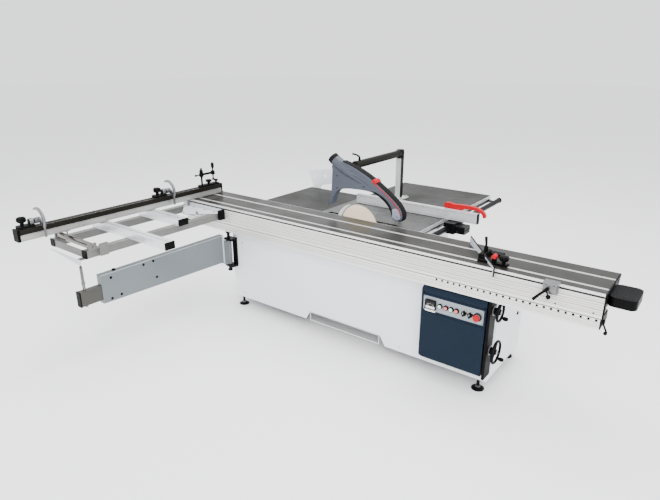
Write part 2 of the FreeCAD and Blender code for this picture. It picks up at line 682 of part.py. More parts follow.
def motor():
    """Main motor: finned body with feet plate, fan cover and terminal box."""
    x, z, y = -d.blade_x, -d.motor_z, 202
    body = rod(d.motor_r - 8, 190, (x, y, z), "Y")
    fins = [rod(d.motor_r, 5, (x, y + 12 + 12 * i, z), "Y") for i in range(14)]
    fan_cover = rod(d.motor_r - 3, 42, (x, y + 190, z), "Y")
    terminal = box((x - d.motor_r - 30, x - d.motor_r + 20), (y + 60, y + 150), (z - 45, z + 45))
    bore = rod(19, 40, (x, y - 1, z), "Y")
    sub_part("motor", cut(fuse(body, *fins, fan_cover, terminal), bore))


def motor_pulley():
    """Motor shaft end with its grooved pulley."""
    x, z = -d.blade_x, -d.motor_z
    r = d.motor_pulley_r
    shaft = rod(18, 96, (x, d.pulley_near, z), "Y")
    wheel = turned([(0, 0), (r, 0), (r, 5), (r - 6, 10), (r - 6, 30), (r, 35), (r, d.pulley_width),
                    (0, d.pulley_width)], (x, d.pulley_near, z), "Y")
    sub_part("motor_pulley", fuse(shaft, wheel))


def drive_belt():
    """Flat multi-rib belt round both pulleys, a loop of constant thickness."""
    near = float(d.pulley_near) + 11
    x = float(-d.blade_x)
    low = Vector(x, near, float(-d.motor_z))
    high = Vector(x, near, float(-d.blade_z))
    low_r = float(d.motor_pulley_r) - 5.6
    high_r = float(d.arbor_pulley_r) - 5.6

    def loop(extra):
        lean = math.asin((low_r - high_r) / (high.z - low.z))
        out = Vector(math.cos(lean), 0, math.sin(lean))
        mirror = Vector(-out.x, 0, out.z)
        a, b = low + out * (low_r + extra), high + out * (high_r + extra)
        c, e = high + mirror * (high_r + extra), low + mirror * (low_r + extra)
        top = high + Vector(0, 0, high_r + extra)
        bottom = low - Vector(0, 0, low_r + extra)
        edges = [Part.LineSegment(a, b).toShape(), Part.Arc(b, top, c).toShape(),
                 Part.LineSegment(c, e).toShape(), Part.Arc(e, bottom, a).toShape()]
        return Part.Face(Part.Wire(edges)).extrude(Vector(0, 18, 0))

    sub_part("drive_belt", shaped(loop(4.6).cut(loop(0))))


def scoring_spindle():
    """Scoring blade on its spindle, with its small pulley."""
    x, y, z = -d.scoring_x, d.blade_y, -d.scoring_z - 4
    disc = toothed_disc(float(x), float(y), float(z), float(d.scoring_r), 10.0, float(d.kerf), 24, 5.0)
    shaft = rod(10, 104, (x, y - 1.6, z), "Y")
    flange = rod(20, 12, (x, y + 1.6, z), "Y")
    cap = rod(20, 5, (x, y - 6.6, z), "Y")
    pulley = rod(18, 16, (x, 108, z), "Y")
    sub_part("scoring_spindle", group(shaped(disc), fuse(shaft, flange, pulley), cap))


# ---------------------------------------------------------------- swing arm

def arm_hinge():
    """Hinge lugs on the cabinet's corner and the hinge rod."""
    x, y = -d.pivot_x, -d.pivot_y
    lugs = [box((x - 26, x + 60), (y - 26, -d.cabinet_front), (z, z + 18)) for z in (-508, -286)]
    back = box((x + 13, x + 60), (-d.cabinet_front - 10, -d.cabinet_front), (-508, -268))
    bracket = cut(fuse(back, *lugs), rod(d.pivot_r, 400, (x, y, -600)))
    pin = rod(d.pivot_r, 300, (x, y, -534))
    knob = turned([(0, 0), (12, 0), (20, 4), (20, 22), (12, 30), (0, 30)], (x, y, -234))
    nut = rod(19, 14, (x, y, -548))
    sub_part("arm_hinge", group(bracket, fuse(pin, knob, nut)))


def swing_arm():
    """Deep box arm, open at the tip for the extension, with a barrel on the hinge rod."""
    x, y = -d.pivot_x, -d.pivot_y
    w = d.arm_wall
    outline = [(-345, -d.arm_top), (-345, -d.arm_bottom), (-d.arm_tip, -d.arm_bottom + 28),
               (-d.arm_tip, -d.arm_top)]
    hollow = [(-348, -d.arm_top - w), (-348, -d.arm_bottom + w + 1),
              (-d.arm_tip - 1, -d.arm_bottom + 28 + w), (-d.arm_tip - 1, -d.arm_top - w)]
    outer = prism("YZ", [outline], (-d.arm_left, -d.arm_right))
    inner = prism("YZ", [hollow], (-d.arm_left + w, -d.arm_right - w))
    shoe_low = box((-d.arm_left + w, -d.arm_right - w), (-d.arm_tip, -d.arm_tip + 40), (-438, -410.5))
    shoe_high = box((-d.arm_left + w, -d.arm_right - w), (-d.arm_tip, -d.arm_tip + 40),
                    (-309.5, -244))
    plate = box((-d.arm_left - 4, x + 14), (-346, -316), (-484, -292))
    barrel = rod(22, 198, (x, y, -489))
    solid = fuse(cut(outer, inner), shoe_low, shoe_high, plate, barrel)
    stop = rod(9, 10, (-2778, -1290, -d.arm_top))
    bore = rod(d.pivot_r + d.running, 240, (x, y, -500))
    sub_part("swing_arm", group(cut(solid, bore), stop))


def arm_extension():
    """Telescopic inner tube with an end cap and the upright support post."""
    left, right = -d.arm_left + d.arm_wall + 0.6, -d.arm_right - d.arm_wall - 0.6
    post_x = -2778
    beam = cut(box((left, right), (-1545, -1000), (-410, -310)),
               box((left + 3, right - 3), (-1546, -999), (-407, -313)),
               rod(9, 130, (post_x, -1506, -420)))
    cap = box((left - 2, right + 2), (-1553, -1545), (-412, -308))
    post = fuse(rod(9, 272, (post_x, -1506, -424)), taper(9, 5, 10, (post_x, -1506, -152)))
    sub_part("arm_extension", group(beam, cap, post))


# ---------------------------------------------------------------- outrigger

def outrigger_fittings():
    """Plastic tube caps, clamp blocks, roller brackets and clamping levers of the outrigger."""
    low, top = -d.frame_top - d.tube, -d.frame_top
    caps = [box((-2365, -2357), (-1166, -1096), (-48, -4)),
            box((-2736, -2712), (-402, -352), (-98, -24))]
    brackets = [cut(box((x, x + 10), (-1462, -1406), (-50, -6)),
                    rod(8.1, 20, (x - 5, -1434, -26), "X")) for x in (-3142, -2740)]
    slotted = cut(box((-2715, -2711), (-1400, -1340), (-96, -12)),
                  box((-2716, -2710), (-1385, -1355), (-40, -26)))
    lever = fuse(rod(8, 26, (-2860, -500, top)), rod(5, 40, (-2860, -500, -32), Vector(0.8, -0.5, 0.1)))
    knob = turned([(0, 0), (7, 0), (7, 16), (18, 20), (18, 32), (0, 36)], (-2830, -620, low + 10))
    tee = fuse(rod(5, 30, (-3155, -1369, top)), rod(6, 44, (-3155, -1391, -18), "Y"))
    return [*caps, *brackets, slotted, lever, tee, knob]


def outrigger_frame():
    """Two long tubes, the side rail clamped to the sliding table and the gusset."""
    top, low = -d.frame_top, -d.frame_top - d.tube
    pieces = []
    for x in (-d.near_tube - d.tube, -d.far_tube):
        outer = box((x, x + d.tube), (-d.frame_tip, -372), (low, top))
        inner = box((x + 3, x + d.tube - 3), (-d.frame_tip - 1, -371), (low + 3, top - 3))
        pieces.append(cut(outer, inner))
    side_rail = box((-d.far_tube, -d.near_tube), (-372, -350.4), (-112, -28))
    gusset = prism("XY", [[(-3170, -372), (-2742, -372), (-2742, -412), (-2905, -560), (-2960, -560)]],
                   (-d.frame_top, -d.frame_top + 4))
    end_plate = box((-d.far_tube, -d.near_tube), (-d.frame_tip - 4, -d.frame_tip), (-100, -50))
    support = prism("XZ", [[(-3120, -100), (-2752, -100), (-2762, -134), (-2796, -134)]],
                    (-d.frame_tip - 46, -d.frame_tip - 40))
    support_arm = box((-2800, -2756), (-d.frame_tip - 44, -d.frame_tip), (-104, -100))
    mitre_pin = rod(10, d.frame_top - 0.3, (-d.mitre_x, -d.mitre_y, top))
    welded = fuse(*pieces, side_rail, gusset, end_plate, support, support_arm, mitre_pin)
    sub_part("outrigger_frame", group(welded, *outrigger_fittings()))


def outrigger_bars():
    """Two wide aluminium bars that carry the board, lying across the tubes."""
    top, low = -d.bar_top, -d.frame_top
    bars = []
    for x_low, x_high, y_low, y_high in ((-3186, -2365, -1166, -1096), (-3186, -2712, -790, -705)):
        outer = box((x_low, x_high), (y_low, y_high), (low, top))
        inner = box((x_low - 1, x_high + 1), (y_low + 4, y_high - 4), (low + 4, top - 4))
        bars.append(cut(outer, inner))
    sub_part("outrigger_bars", group(*bars))


def end_roller():
    body = rod(d.roller_r, 386, (-3129, -1434, -26), "X")
    axle = rod(8, 402, (-3137, -1434, -26), "X")
    sub_part("end_roller", fuse(body, axle))


def crosscut_fence():
    """Extruded fence with two grooves on top and one in the face."""
    back, front = -d.fence_front - d.fence_depth, -d.fence_front
    low, high = d.fence_low, d.fence_high
    outline = [(back, low), (back, high), (back + 14, high), (back + 14, high - 9),
               (back + 24, high - 9), (back + 24, high), (back + 36, high), (back + 36, high - 9),
               (back + 46, high - 9), (back + 46, high), (front, high), (front, high - 26),
               (front - 8, high - 26), (front - 8, high - 36), (front, high - 36), (front, low)]
    hollow = [(back + 5, low + 5), (back + 5, high - 16), (front - 14, high - 16),
              (front - 14, low + 5)]
    profile = prism("XZ", [outline, hollow], (-d.fence_tip, -d.fence_heel))
    sub_part("crosscut_fence", profile)


def fence_fittings():
    """End caps, hold-down base and post, and the mitre pivot of the crosscut fence."""
    back, front = -d.fence_front - d.fence_depth, -d.fence_front
    caps = [box((back - 2, front + 2), (-1715, -d.fence_tip), (3, 82)),
            box((back - 2, front + 2), (-d.fence_heel, -38), (3, 82))]
    base = box((back + 4, front - 6), (-250, -64), (80, 94))
    post = rod(8, 140, (-3105, -226, 94))
    knob = turned([(0, 0), (7, 0), (7, 10), (20, 16), (20, 28), (0, 34)], (-3105, -156, 94))
    side_knob = turned([(0, 0), (6, 0), (6, 8), (14, 12), (14, 22), (0, 24)], (-3105, -76, 94))
    mitre_foot = rod(24, d.fence_low, (-d.mitre_x, -d.mitre_y, 0))
    sub_part("fence_fittings", group(*caps, fuse(base, post, knob, side_knob), mitre_foot))


def flip_stop(tag, shift):
    """A stop that slides on the crosscut fence and flips up out of the way."""
    x, z = -3105, d.stop_z
    ring_y = -d.stop_y + shift
    base = box((-3140, -3080), (ring_y - 132, ring_y - 34), (80.4, 96))
    hub_block = box((-3118, -3092), (ring_y - 66, ring_y - 34), (96, 128))
    knob = turned([(0, 0), (7, 0), (7, 16), (15, 20), (25, 40), (22, 50), (0, 54)],
                  (x, ring_y - 104, 96))
    pin = rod(8, 66, (x, ring_y - 66, z), "Y")
    sub_part("stop_carriage_" + tag, fuse(base, hub_block, knob, pin))

    outer, inner = float(d.stop_ring_r), float(d.stop_ring_r) - 14
    centre = point(x, ring_y - 7, z)

    def on(radius, degrees):
        angle = math.radians(degrees)
        return centre + Vector(radius * math.cos(angle), 0, radius * math.sin(angle))

    edges = [Part.Arc(on(outer, 112), on(outer, 40), on(outer, -30)).toShape(),
             Part.LineSegment(on(outer, -30), on(inner, -30)).toShape(),
             Part.Arc(on(inner, -30), on(inner, 40), on(inner, 112)).toShape(),
             Part.LineSegment(on(inner, 112), on(outer, 112)).toShape()]
    band = Part.Face(Part.Wire(edges)).extrude(Vector(0, 14, 0))
    arc = shaped(band)
    spoke = box((x, x + 70), (ring_y - 7, ring_y + 7), (z - 6, z + 6))
    finger = box((x + 58, x + 71), (ring_y - 7, ring_y + 7), (8, z - 38))
    boss = rod(17, 38, (x, ring_y - 33.6, z), "Y")
    bore = rod(8 + d.running, 90, (x, ring_y - 45, z), "Y")
    sub_part("flip_stop_" + tag, cut(fuse(arc, spoke, finger, boss), bore))


def hold_down():
    """Hold-down arm on its post, and the screw spindle in the arm's end."""
    x = -3105
    sleeve = rod(15, 34, (x, -226, 163))
    arm = box((x - 8, x + 8), (-226, -96), (172, 188))
    eye = rod(14, 30, (x, -104, 165))
    crossbar = rod(5, 60, (x, -286, 180), "Y")
    end_ball = ball(9, (x, -284, 180))
    solid = fuse(sleeve, arm, eye, crossbar, end_ball)
    sub_part("hold_down_arm", cut(solid, rod(8 + d.running, 60, (x, -226, 150)),
                                  rod(6 + d.running, 60, (x, -104, 150))))
    spindle = rod(6, 92, (x, -104, 128))
    pad = rod(13, 8, (x, -104, 120))
    handle = turned([(0, 0), (9, 0), (13, 8), (13, 34), (8, 44), (0, 46)], (x, -104, 218))
    sub_part("hold_down_spindle", fuse(spindle, pad, handle))


# ---------------------------------------------------------------- rip fence

def rip_carriage():
    """Saddle on the round rail with the upright that holds the fence."""
    saddle = box((-1186, -1104), (296, 432), (-78, -2))
    nose = box((-1104, -1030), (306, 398), (-70, -18))
    upright = box((-1240, -1104), (400, 430), (3, 66))
    post = box((-1186, -1104), (400, 430), (-2, 3))
    bolts = [rod(4, 13, (x, d.rip_face + d.rip_thick - 7, 40), "Y") for x in (-1215, -1130)]
    solid = fuse(saddle, nose, upright, post, *bolts)
    bore = rod(d.rail_r + 0.3, 160, (-d.rail_x, 280, -d.rail_z), "Y")
    gap = box((-1190, -1160), (290, 440), (-58, -32))
    sub_part("rip_carriage", cut(solid, bore, gap))


def rip_fence():
    """Extruded rip fence with a clamping groove in its back."""
    face, back, high = d.rip_face, d.rip_face + d.rip_thick, d.rip_height
    outline = [(face, 3), (face, high), (back, high), (back, 46), (back - 9, 46), (back - 9, 34),
               (back, 34), (back, 3)]
    hollow = [(face + 4, 8), (face + 4, high - 5), (back - 14, high - 5), (back - 14, 8)]
    profile = prism("YZ", [outline, hollow], (-d.rip_left, -d.rip_right))
    cap = box((-d.rip_right, -d.rip_right + 6), (face, back), (3, high))
    sub_part("rip_fence", group(profile, cap))


def rip_lock_lever():
    """Cam block with a long lever and hooked grip."""
    block = prism("XZ", [[(-1236, 80), (-1236, 108), (-1110, 108), (-1110, 67), (-1224, 67)]],
                  (404, 428))
    arm = prism("XZ", [[(-1112, 108), (-1112, 84), (-1010, 88), (-958, 66), (-950, 44), (-934, 44),
                        (-934, 76), (-962, 98), (-1010, 108)]], (406, 426))
    pin = rod(7, 30, (-1222, 401, 88), "Y")
    sub_part("rip_lock_lever", fuse(block, arm, pin))


# ---------------------------------------------------------------- guard

def guard_post():
    """Square post with a bolted foot, standing on the side table."""
    half, x, y = d.post_side / 2, -d.post_x, d.post_y
    outer = box((x - half, x + half), (y - half, y + half), (10, d.post_top))
    inner = box((x - half + 3, x + half - 3), (y - half + 3, y + half - 3), (9, d.post_top - 6))
    foot = box((x - 60, x + 60), (y - 60, y + 60), (0, 10))
    screws = [rod(7, 6, (x + dx, y + dy, 10)) for dx in (-45, 45) for dy in (-45, 45)]
    sub_part("guard_post", fuse(cut(outer, inner), foot, *screws))


def overarm():
    """Round overhead tube on a swivel head, reaching from the post to the guard hood."""
    x, y, z = -d.post_x, d.post_y, d.overarm_z
    end = d.hood_y + d.hood_half + 0.4
    head = rod(31, 62, (x, y, d.post_top + 0.4))
    pipe = rod(d.overarm_r, y - end - 8, (x, end + 8, z), "Y")
    crown = ball(30, (x, y + 6, z))
    collar = rod(20, 30, (x, end, z), "Y")
    sub_part("overarm", fuse(head, pipe, crown, collar))


def overarm_lever():
    """Bent clamping lever on top of the overarm."""
    x, z = -d.post_x, d.overarm_z + d.overarm_r
    boss = rod(11, 10, (x, 120, z + 0.4))
    lean = Vector(-0.86, -0.2, 0.46).normalize()
    arm = rod(5, 50, (x, 120, z + 6), lean)
    grip_x, grip_y, grip_z = x + lean.x * 36, 120 + lean.y * 36, z + 6 + lean.z * 36
    grip = taper(5.5, 8, 26, (grip_x, grip_y, grip_z), lean)
    sub_part("overarm_lever", fuse(boss, arm, grip))


def hood_outline(inset, reach):
    """Side outline of the guard hood: inset moves the walls in, reach pushes the mouth out.

    The tail ends in two cheeks with no wall between them, so the blade passes when it lifts.
    """
    top = [(-1938, 322), (-1948, 352), (-1915, 404), (-1868, 402), (-1750, 368), (-1655, 328),
           (-1570, 284), (-1480, 226), (-1401, 168), (-1352, 108), (-1342, 72)]
    mouth = [(-1424, 48), (-1432, 92), (-1462, 132), (-1506, 170), (-1566, 204), (-1640, 214),
             (-1804, 208), (-1872, 190), (-1905, 162), (-1926, 120), (-1940, 72)]
    points = []
    for i, (x, z) in enumerate(top):
        ahead = top[min(i + 1, len(top) - 1)]
        behind = top[max(i - 1, 0)]
        run = Vector(ahead[0] - behind[0], 0, ahead[1] - behind[1]).normalize()
        points.append(Vector(x, 0, z) + Vector(run.z, 0, -run.x) * inset)
    nose = Vector(-1358 - inset, 0, 42 - reach)
    points.append(nose)
    for x, z in mouth:
        away = Vector(-1690 - x, 0, -60 - z).normalize()
        points.append(Vector(x, 0, z) + away * reach)
    if inset:
        points += [Vector(-1990, 0, 62 - reach), Vector(-1990, 0, 150)]
    else:
        points.append(Vector(-1975, 0, 62))
    points.append(Vector(-1938 + inset, 0, 165))
    return points


def guard_hood():
    """Blade guard: a deep shell open towards the blade, with the extraction spigot."""
    centre, half, wall = float(d.hood_y), float(d.hood_half), float(d.hood_wall)
    solids = []
    for inset, reach, side in ((0, 0, half), (wall, 14, half - wall)):
        points = [p + Vector(0, centre - side, 0) for p in hood_outline(inset, reach)]
        face = Part.Face(Part.makePolygon(points + points[:1]))
        solids.append(face.extrude(Vector(0, 2 * side, 0)))
    shell = solids[0].cut(solids[1])
    lean = Vector(-0.765, 0, 0.644)
    root = Vector(-1876, centre, 352)
    neck = Part.makeCylinder(float(d.spigot_r) + 2, 58, root, lean)
    bead = Part.makeCylinder(float(d.spigot_r) + 4, 4, root + lean * 56, lean)
    outside = Part.makeCylinder(float(d.spigot_r), 2 + float(d.spigot_length), root + lean * 58, lean)
    bore = Part.makeCylinder(float(d.spigot_r) - 3, 130, root - lean * 6, lean)
    pivot = Part.makeCylinder(9, 4, Vector(float(-d.post_x), centre + half - 4, float(d.overarm_z)),
                              Vector(0, 1, 0))
    hood = shell.fuse([neck, bead, outside, pivot]).cut(bore)
    sub_part("guard_hood", shaped(hood.removeSplitter()))


# ---------------------------------------------------------------- controls

def control_box():
    """Electrical box on the cabinet front, with rounded front edges."""
    body = rounded(box((-d.box_left, -d.box_right), (-d.box_front, -d.cabinet_front - 0.5),
                       (-d.box_bottom, -d.box_top)), 24, "Z")
    hollow = box((-d.box_left + 26, -d.box_right - 26), (-d.box_front + 3, -d.cabinet_front),
                 (-d.box_bottom + 3, -d.box_top - 3))
    holes = [rod(10 + d.running, 60, (-d.box_right - 40, -d.wheel_y, z), "X")
             for z in (-d.lift_wheel_z, -d.tilt_wheel_z)]
    sub_part("control_box", cut(body, hollow, *holes))


def instrument_plate():
    """Brushed plate with the meter and the collars of the buttons."""
    front = -d.box_front
    plate = box((-978, -598), (front - 3, front - 0.3), (-356, -264))
    meter = box((-962, -894), (front - 12, front - 3), (-344, -284))
    collars = [tube(15, d.button_r + 0.3, 9, (x, front - 12, -d.panel_z), "Y")
               for x in button_places()]
    collars.append(tube(24, 9, 7, (-633, front - 10, -d.panel_z), "Y"))
    sub_part("instrument_plate", group(fuse(plate, meter), *collars))


def button_places():
    return [-868, -830, -796, -762]


def push_button(label, x, radius, reach):
    cap = rod(radius, 9, (x, -d.box_front - reach, -d.panel_z), "Y")
    sub_part(label, cap)


def selector_switch(label, x):
    front = -d.box_front - 3.4
    knob = rod(14, 14, (x, front - 14, -d.panel_z), "Y")
    grip = box((x - 4, x + 4), (front - 22, front - 14), (-d.panel_z - 13, -d.panel_z + 13))
    sub_part(label, fuse(knob, grip))


def emergency_stop():
    front = -d.box_front - 9.5
    head = turned([(0, 0), (8.7, 0), (8.7, 8), (14, 8), (20, 14), (20, 22), (14, 27), (0, 28)],
                  (-633, front, -d.panel_z), Vector(0, -1, 0))
    sub_part("emergency_stop", head)


def handwheel(label, z, radius):
    """Dished handwheel with three spokes, a crank handle and its shaft."""
    x, y = -d.box_right + 10, -d.wheel_y
    rim = ring(radius, 8, (x + 26, y, z), "X")
    hub = turned([(0, 0), (20, 0), (16, 34), (0, 36)], (x, y, z), "X")
    spokes = []
    for i in range(3):
        angle = math.radians(90 + 120 * i)
        spokes.append(rod(6, radius, (x + 20, y, z), Vector(0.1, math.cos(angle), math.sin(angle))))
    crank = rod(5, 12, (x + 30, y + radius * 0.5, z - radius * 0.866), "X")
    grip = turned([(0, 0), (9, 0), (12, 6), (12, 22), (8, 29), (0, 30)],
                  (x + 36, y + radius * 0.5, z - radius * 0.866), "X")
    shaft = rod(10, 70, (x - 66, y, z), "X")
    sub_part(label, fuse(rim, hub, *spokes, crank, grip, shaft))


# ---------------------------------------------------------------- build

def build():
    cabinet()
    leveling_feet()
    base_beam()
    crest = d.guide_r + 0.1
    guide_rods("beam_guide_rods", (-d.crest_left - crest, -d.crest_right + crest), d.beam_end,
               d.beam_start)
    guide_rods("table_guide_rods", (-d.channel_left + crest, -d.channel_right - crest),
               d.table_length - 10, 10)
    ball_cage()
    sliding_table()
    table_end_caps()
    table_lock_lever()
    edge_clamp()
    edge_clamp_lever()
    edging_plate()
    main_table()
    throat_plate()
    sheet_table("rear_table", -d.rear_left, -d.main_left - d.seam, d.main_front, d.rear_back,
                d.side_thick, [rod(12, d.seam, (-d.main_left - d.seam, y, -26), "X")
                               for y in (60, 300, 540)])
    sheet_table("side_table", -d.main_left, -d.main_right, d.main_back + d.seam, d.side_back,
                d.side_thick, [rod(12, d.seam, (x, d.main_back, -26), "Y")
                               for x in (-1980, -1630, -1280)])
    fence_rail()
    hose_bracket()
    trunnions()
    tilt_frame()
    saw_carriage()
    saw_blade()
    arbor()
    riving_knife()
    motor()
    motor_pulley()
    drive_belt()
    scoring_spindle()
    arm_hinge()
    swing_arm()
    arm_extension()
    outrigger_frame()
    outrigger_bars()
    end_roller()
    crosscut_fence()
    fence_fittings()
    flip_stop("a", 0)
    flip_stop("b", d.stop_step)
    hold_down()
    rip_carriage()
    rip_fence()
    rip_lock_lever()
    guard_post()
    overarm()
    overarm_lever()
    guard_hood()
    control_box()
    instrument_plate()
    for i, x in enumerate(button_places(), start=1):
        push_button("push_button_%d" % i, x, d.button_r, 16.5)
    selector_switch("selector_1", -715)
    selector_switch("selector_2", -677)
    emergency_stop()
    handwheel("lift_handwheel", -d.lift_wheel_z, 52)
    handwheel("tilt_handwheel", -d.tilt_wheel_z, 66)


def check_and_export():
    """Stop on any failed object, then write one STEP file per sub-part."""
    doc.recompute()
    for item in doc.Objects:
        if {"Invalid", "Error"} & set(item.State):
            raise RuntimeError("%s (%s) failed: %s" % (item.Label, item.Name, item.State))
    os.makedirs("parts", exist_ok=True)
    whole = FreeCAD.BoundBox()
    for item in SUB_PARTS:
        shape = item.Shape
        if shape.isNull() or not shape.isValid() or not shape.Solids:
            raise RuntimeError("sub-part %s has no valid solid" % item.Label)
        shape.exportStep("parts/%s.step" % item.Label)
        whole.add(shape.BoundBox)
    print("%d sub-parts, box X %.2f..%.2f Y %.2f..%.2f Z %.2f..%.2f" % (
        len(SUB_PARTS), whole.XMin, whole.XMax, whole.YMin, whole.YMax, whole.ZMin, whole.ZMax))


build()
check_and_export()
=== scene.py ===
import math

import bmesh
import bpy
from mathutils import Matrix, Vector


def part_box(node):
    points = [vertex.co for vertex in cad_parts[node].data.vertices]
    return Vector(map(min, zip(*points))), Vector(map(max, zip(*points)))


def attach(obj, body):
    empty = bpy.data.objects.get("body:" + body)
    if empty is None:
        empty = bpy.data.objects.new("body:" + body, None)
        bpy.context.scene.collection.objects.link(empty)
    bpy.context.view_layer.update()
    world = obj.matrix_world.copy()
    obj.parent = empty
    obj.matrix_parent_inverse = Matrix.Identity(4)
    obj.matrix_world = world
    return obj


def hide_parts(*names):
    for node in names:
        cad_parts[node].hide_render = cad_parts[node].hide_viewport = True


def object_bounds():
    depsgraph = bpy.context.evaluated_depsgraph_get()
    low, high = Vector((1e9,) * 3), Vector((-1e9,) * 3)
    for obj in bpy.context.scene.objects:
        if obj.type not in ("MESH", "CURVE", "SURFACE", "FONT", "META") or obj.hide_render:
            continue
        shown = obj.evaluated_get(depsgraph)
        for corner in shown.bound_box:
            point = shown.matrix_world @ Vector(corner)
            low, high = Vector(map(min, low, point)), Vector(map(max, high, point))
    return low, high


# Looks of the sliding-table panel saw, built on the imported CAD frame. Places are written in
# millimetres from the table datum: the corner where the top face, the operator's end and the
# blade-side edge of the sliding table meet.

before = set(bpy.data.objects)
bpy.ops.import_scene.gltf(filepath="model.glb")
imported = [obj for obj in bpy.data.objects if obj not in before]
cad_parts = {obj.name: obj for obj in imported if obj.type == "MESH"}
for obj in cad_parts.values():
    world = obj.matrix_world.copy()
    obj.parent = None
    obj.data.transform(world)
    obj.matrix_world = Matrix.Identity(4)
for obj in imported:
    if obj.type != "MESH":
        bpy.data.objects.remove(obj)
cad_low, cad_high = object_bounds()
table_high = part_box("table_profile")[1]
DATUM = Vector((table_high.x + 0.008, table_high.y + 0.002, table_high.z))
X, Y, Z = Vector((1, 0, 0)), Vector((0, 1, 0)), Vector((0, 0, 1))
BLADE_CENTRE = (-1712, 22, -57.5)
FENCE_X = -3105  # the line of the crosscut fence's stops and hold-down
PANEL_Y, PANEL_Z = -353, -311  # the instrument plate's front, and the height of its controls


def at(x, y, z):
    """A place counted from the datum in millimetres, in the model's frame in metres."""
    return DATUM + Vector((x, y, z)) * 0.001


# ---------------------------------------------------------------- materials

def node(tree, kind, **values):
    """Add a shader node, set its properties, and set sockets given by name."""
    made = tree.nodes.new("ShaderNode" + kind)
    for key, value in values.items():
        if key in made.inputs:
            made.inputs[key].default_value = value
        else:
            setattr(made, key, value)
    return made


def mixed(tree, factor, first, second, blend="MIX"):
    """Mix two colours, each a socket or a plain colour."""
    mix = tree.nodes.new("ShaderNodeMix")
    mix.data_type, mix.blend_type = "RGBA", blend
    for index, value in ((0, factor), (6, first), (7, second)):
        if isinstance(value, bpy.types.NodeSocket):
            tree.links.new(value, mix.inputs[index])
        else:
            mix.inputs[index].default_value = value
    return mix.outputs[2]


def spread(tree, socket, low, high, to_low, to_high):
    """Map a value from one range to another, clamped."""
    ranged = node(tree, "MapRange")
    for index, value in zip(range(1, 5), (low, high, to_low, to_high)):
        ranged.inputs[index].default_value = value
    tree.links.new(socket, ranged.inputs[0])
    return ranged.outputs[0]


def shade(colour, factor):
    return tuple(min(1.0, c * factor) for c in colour) + (1.0,)


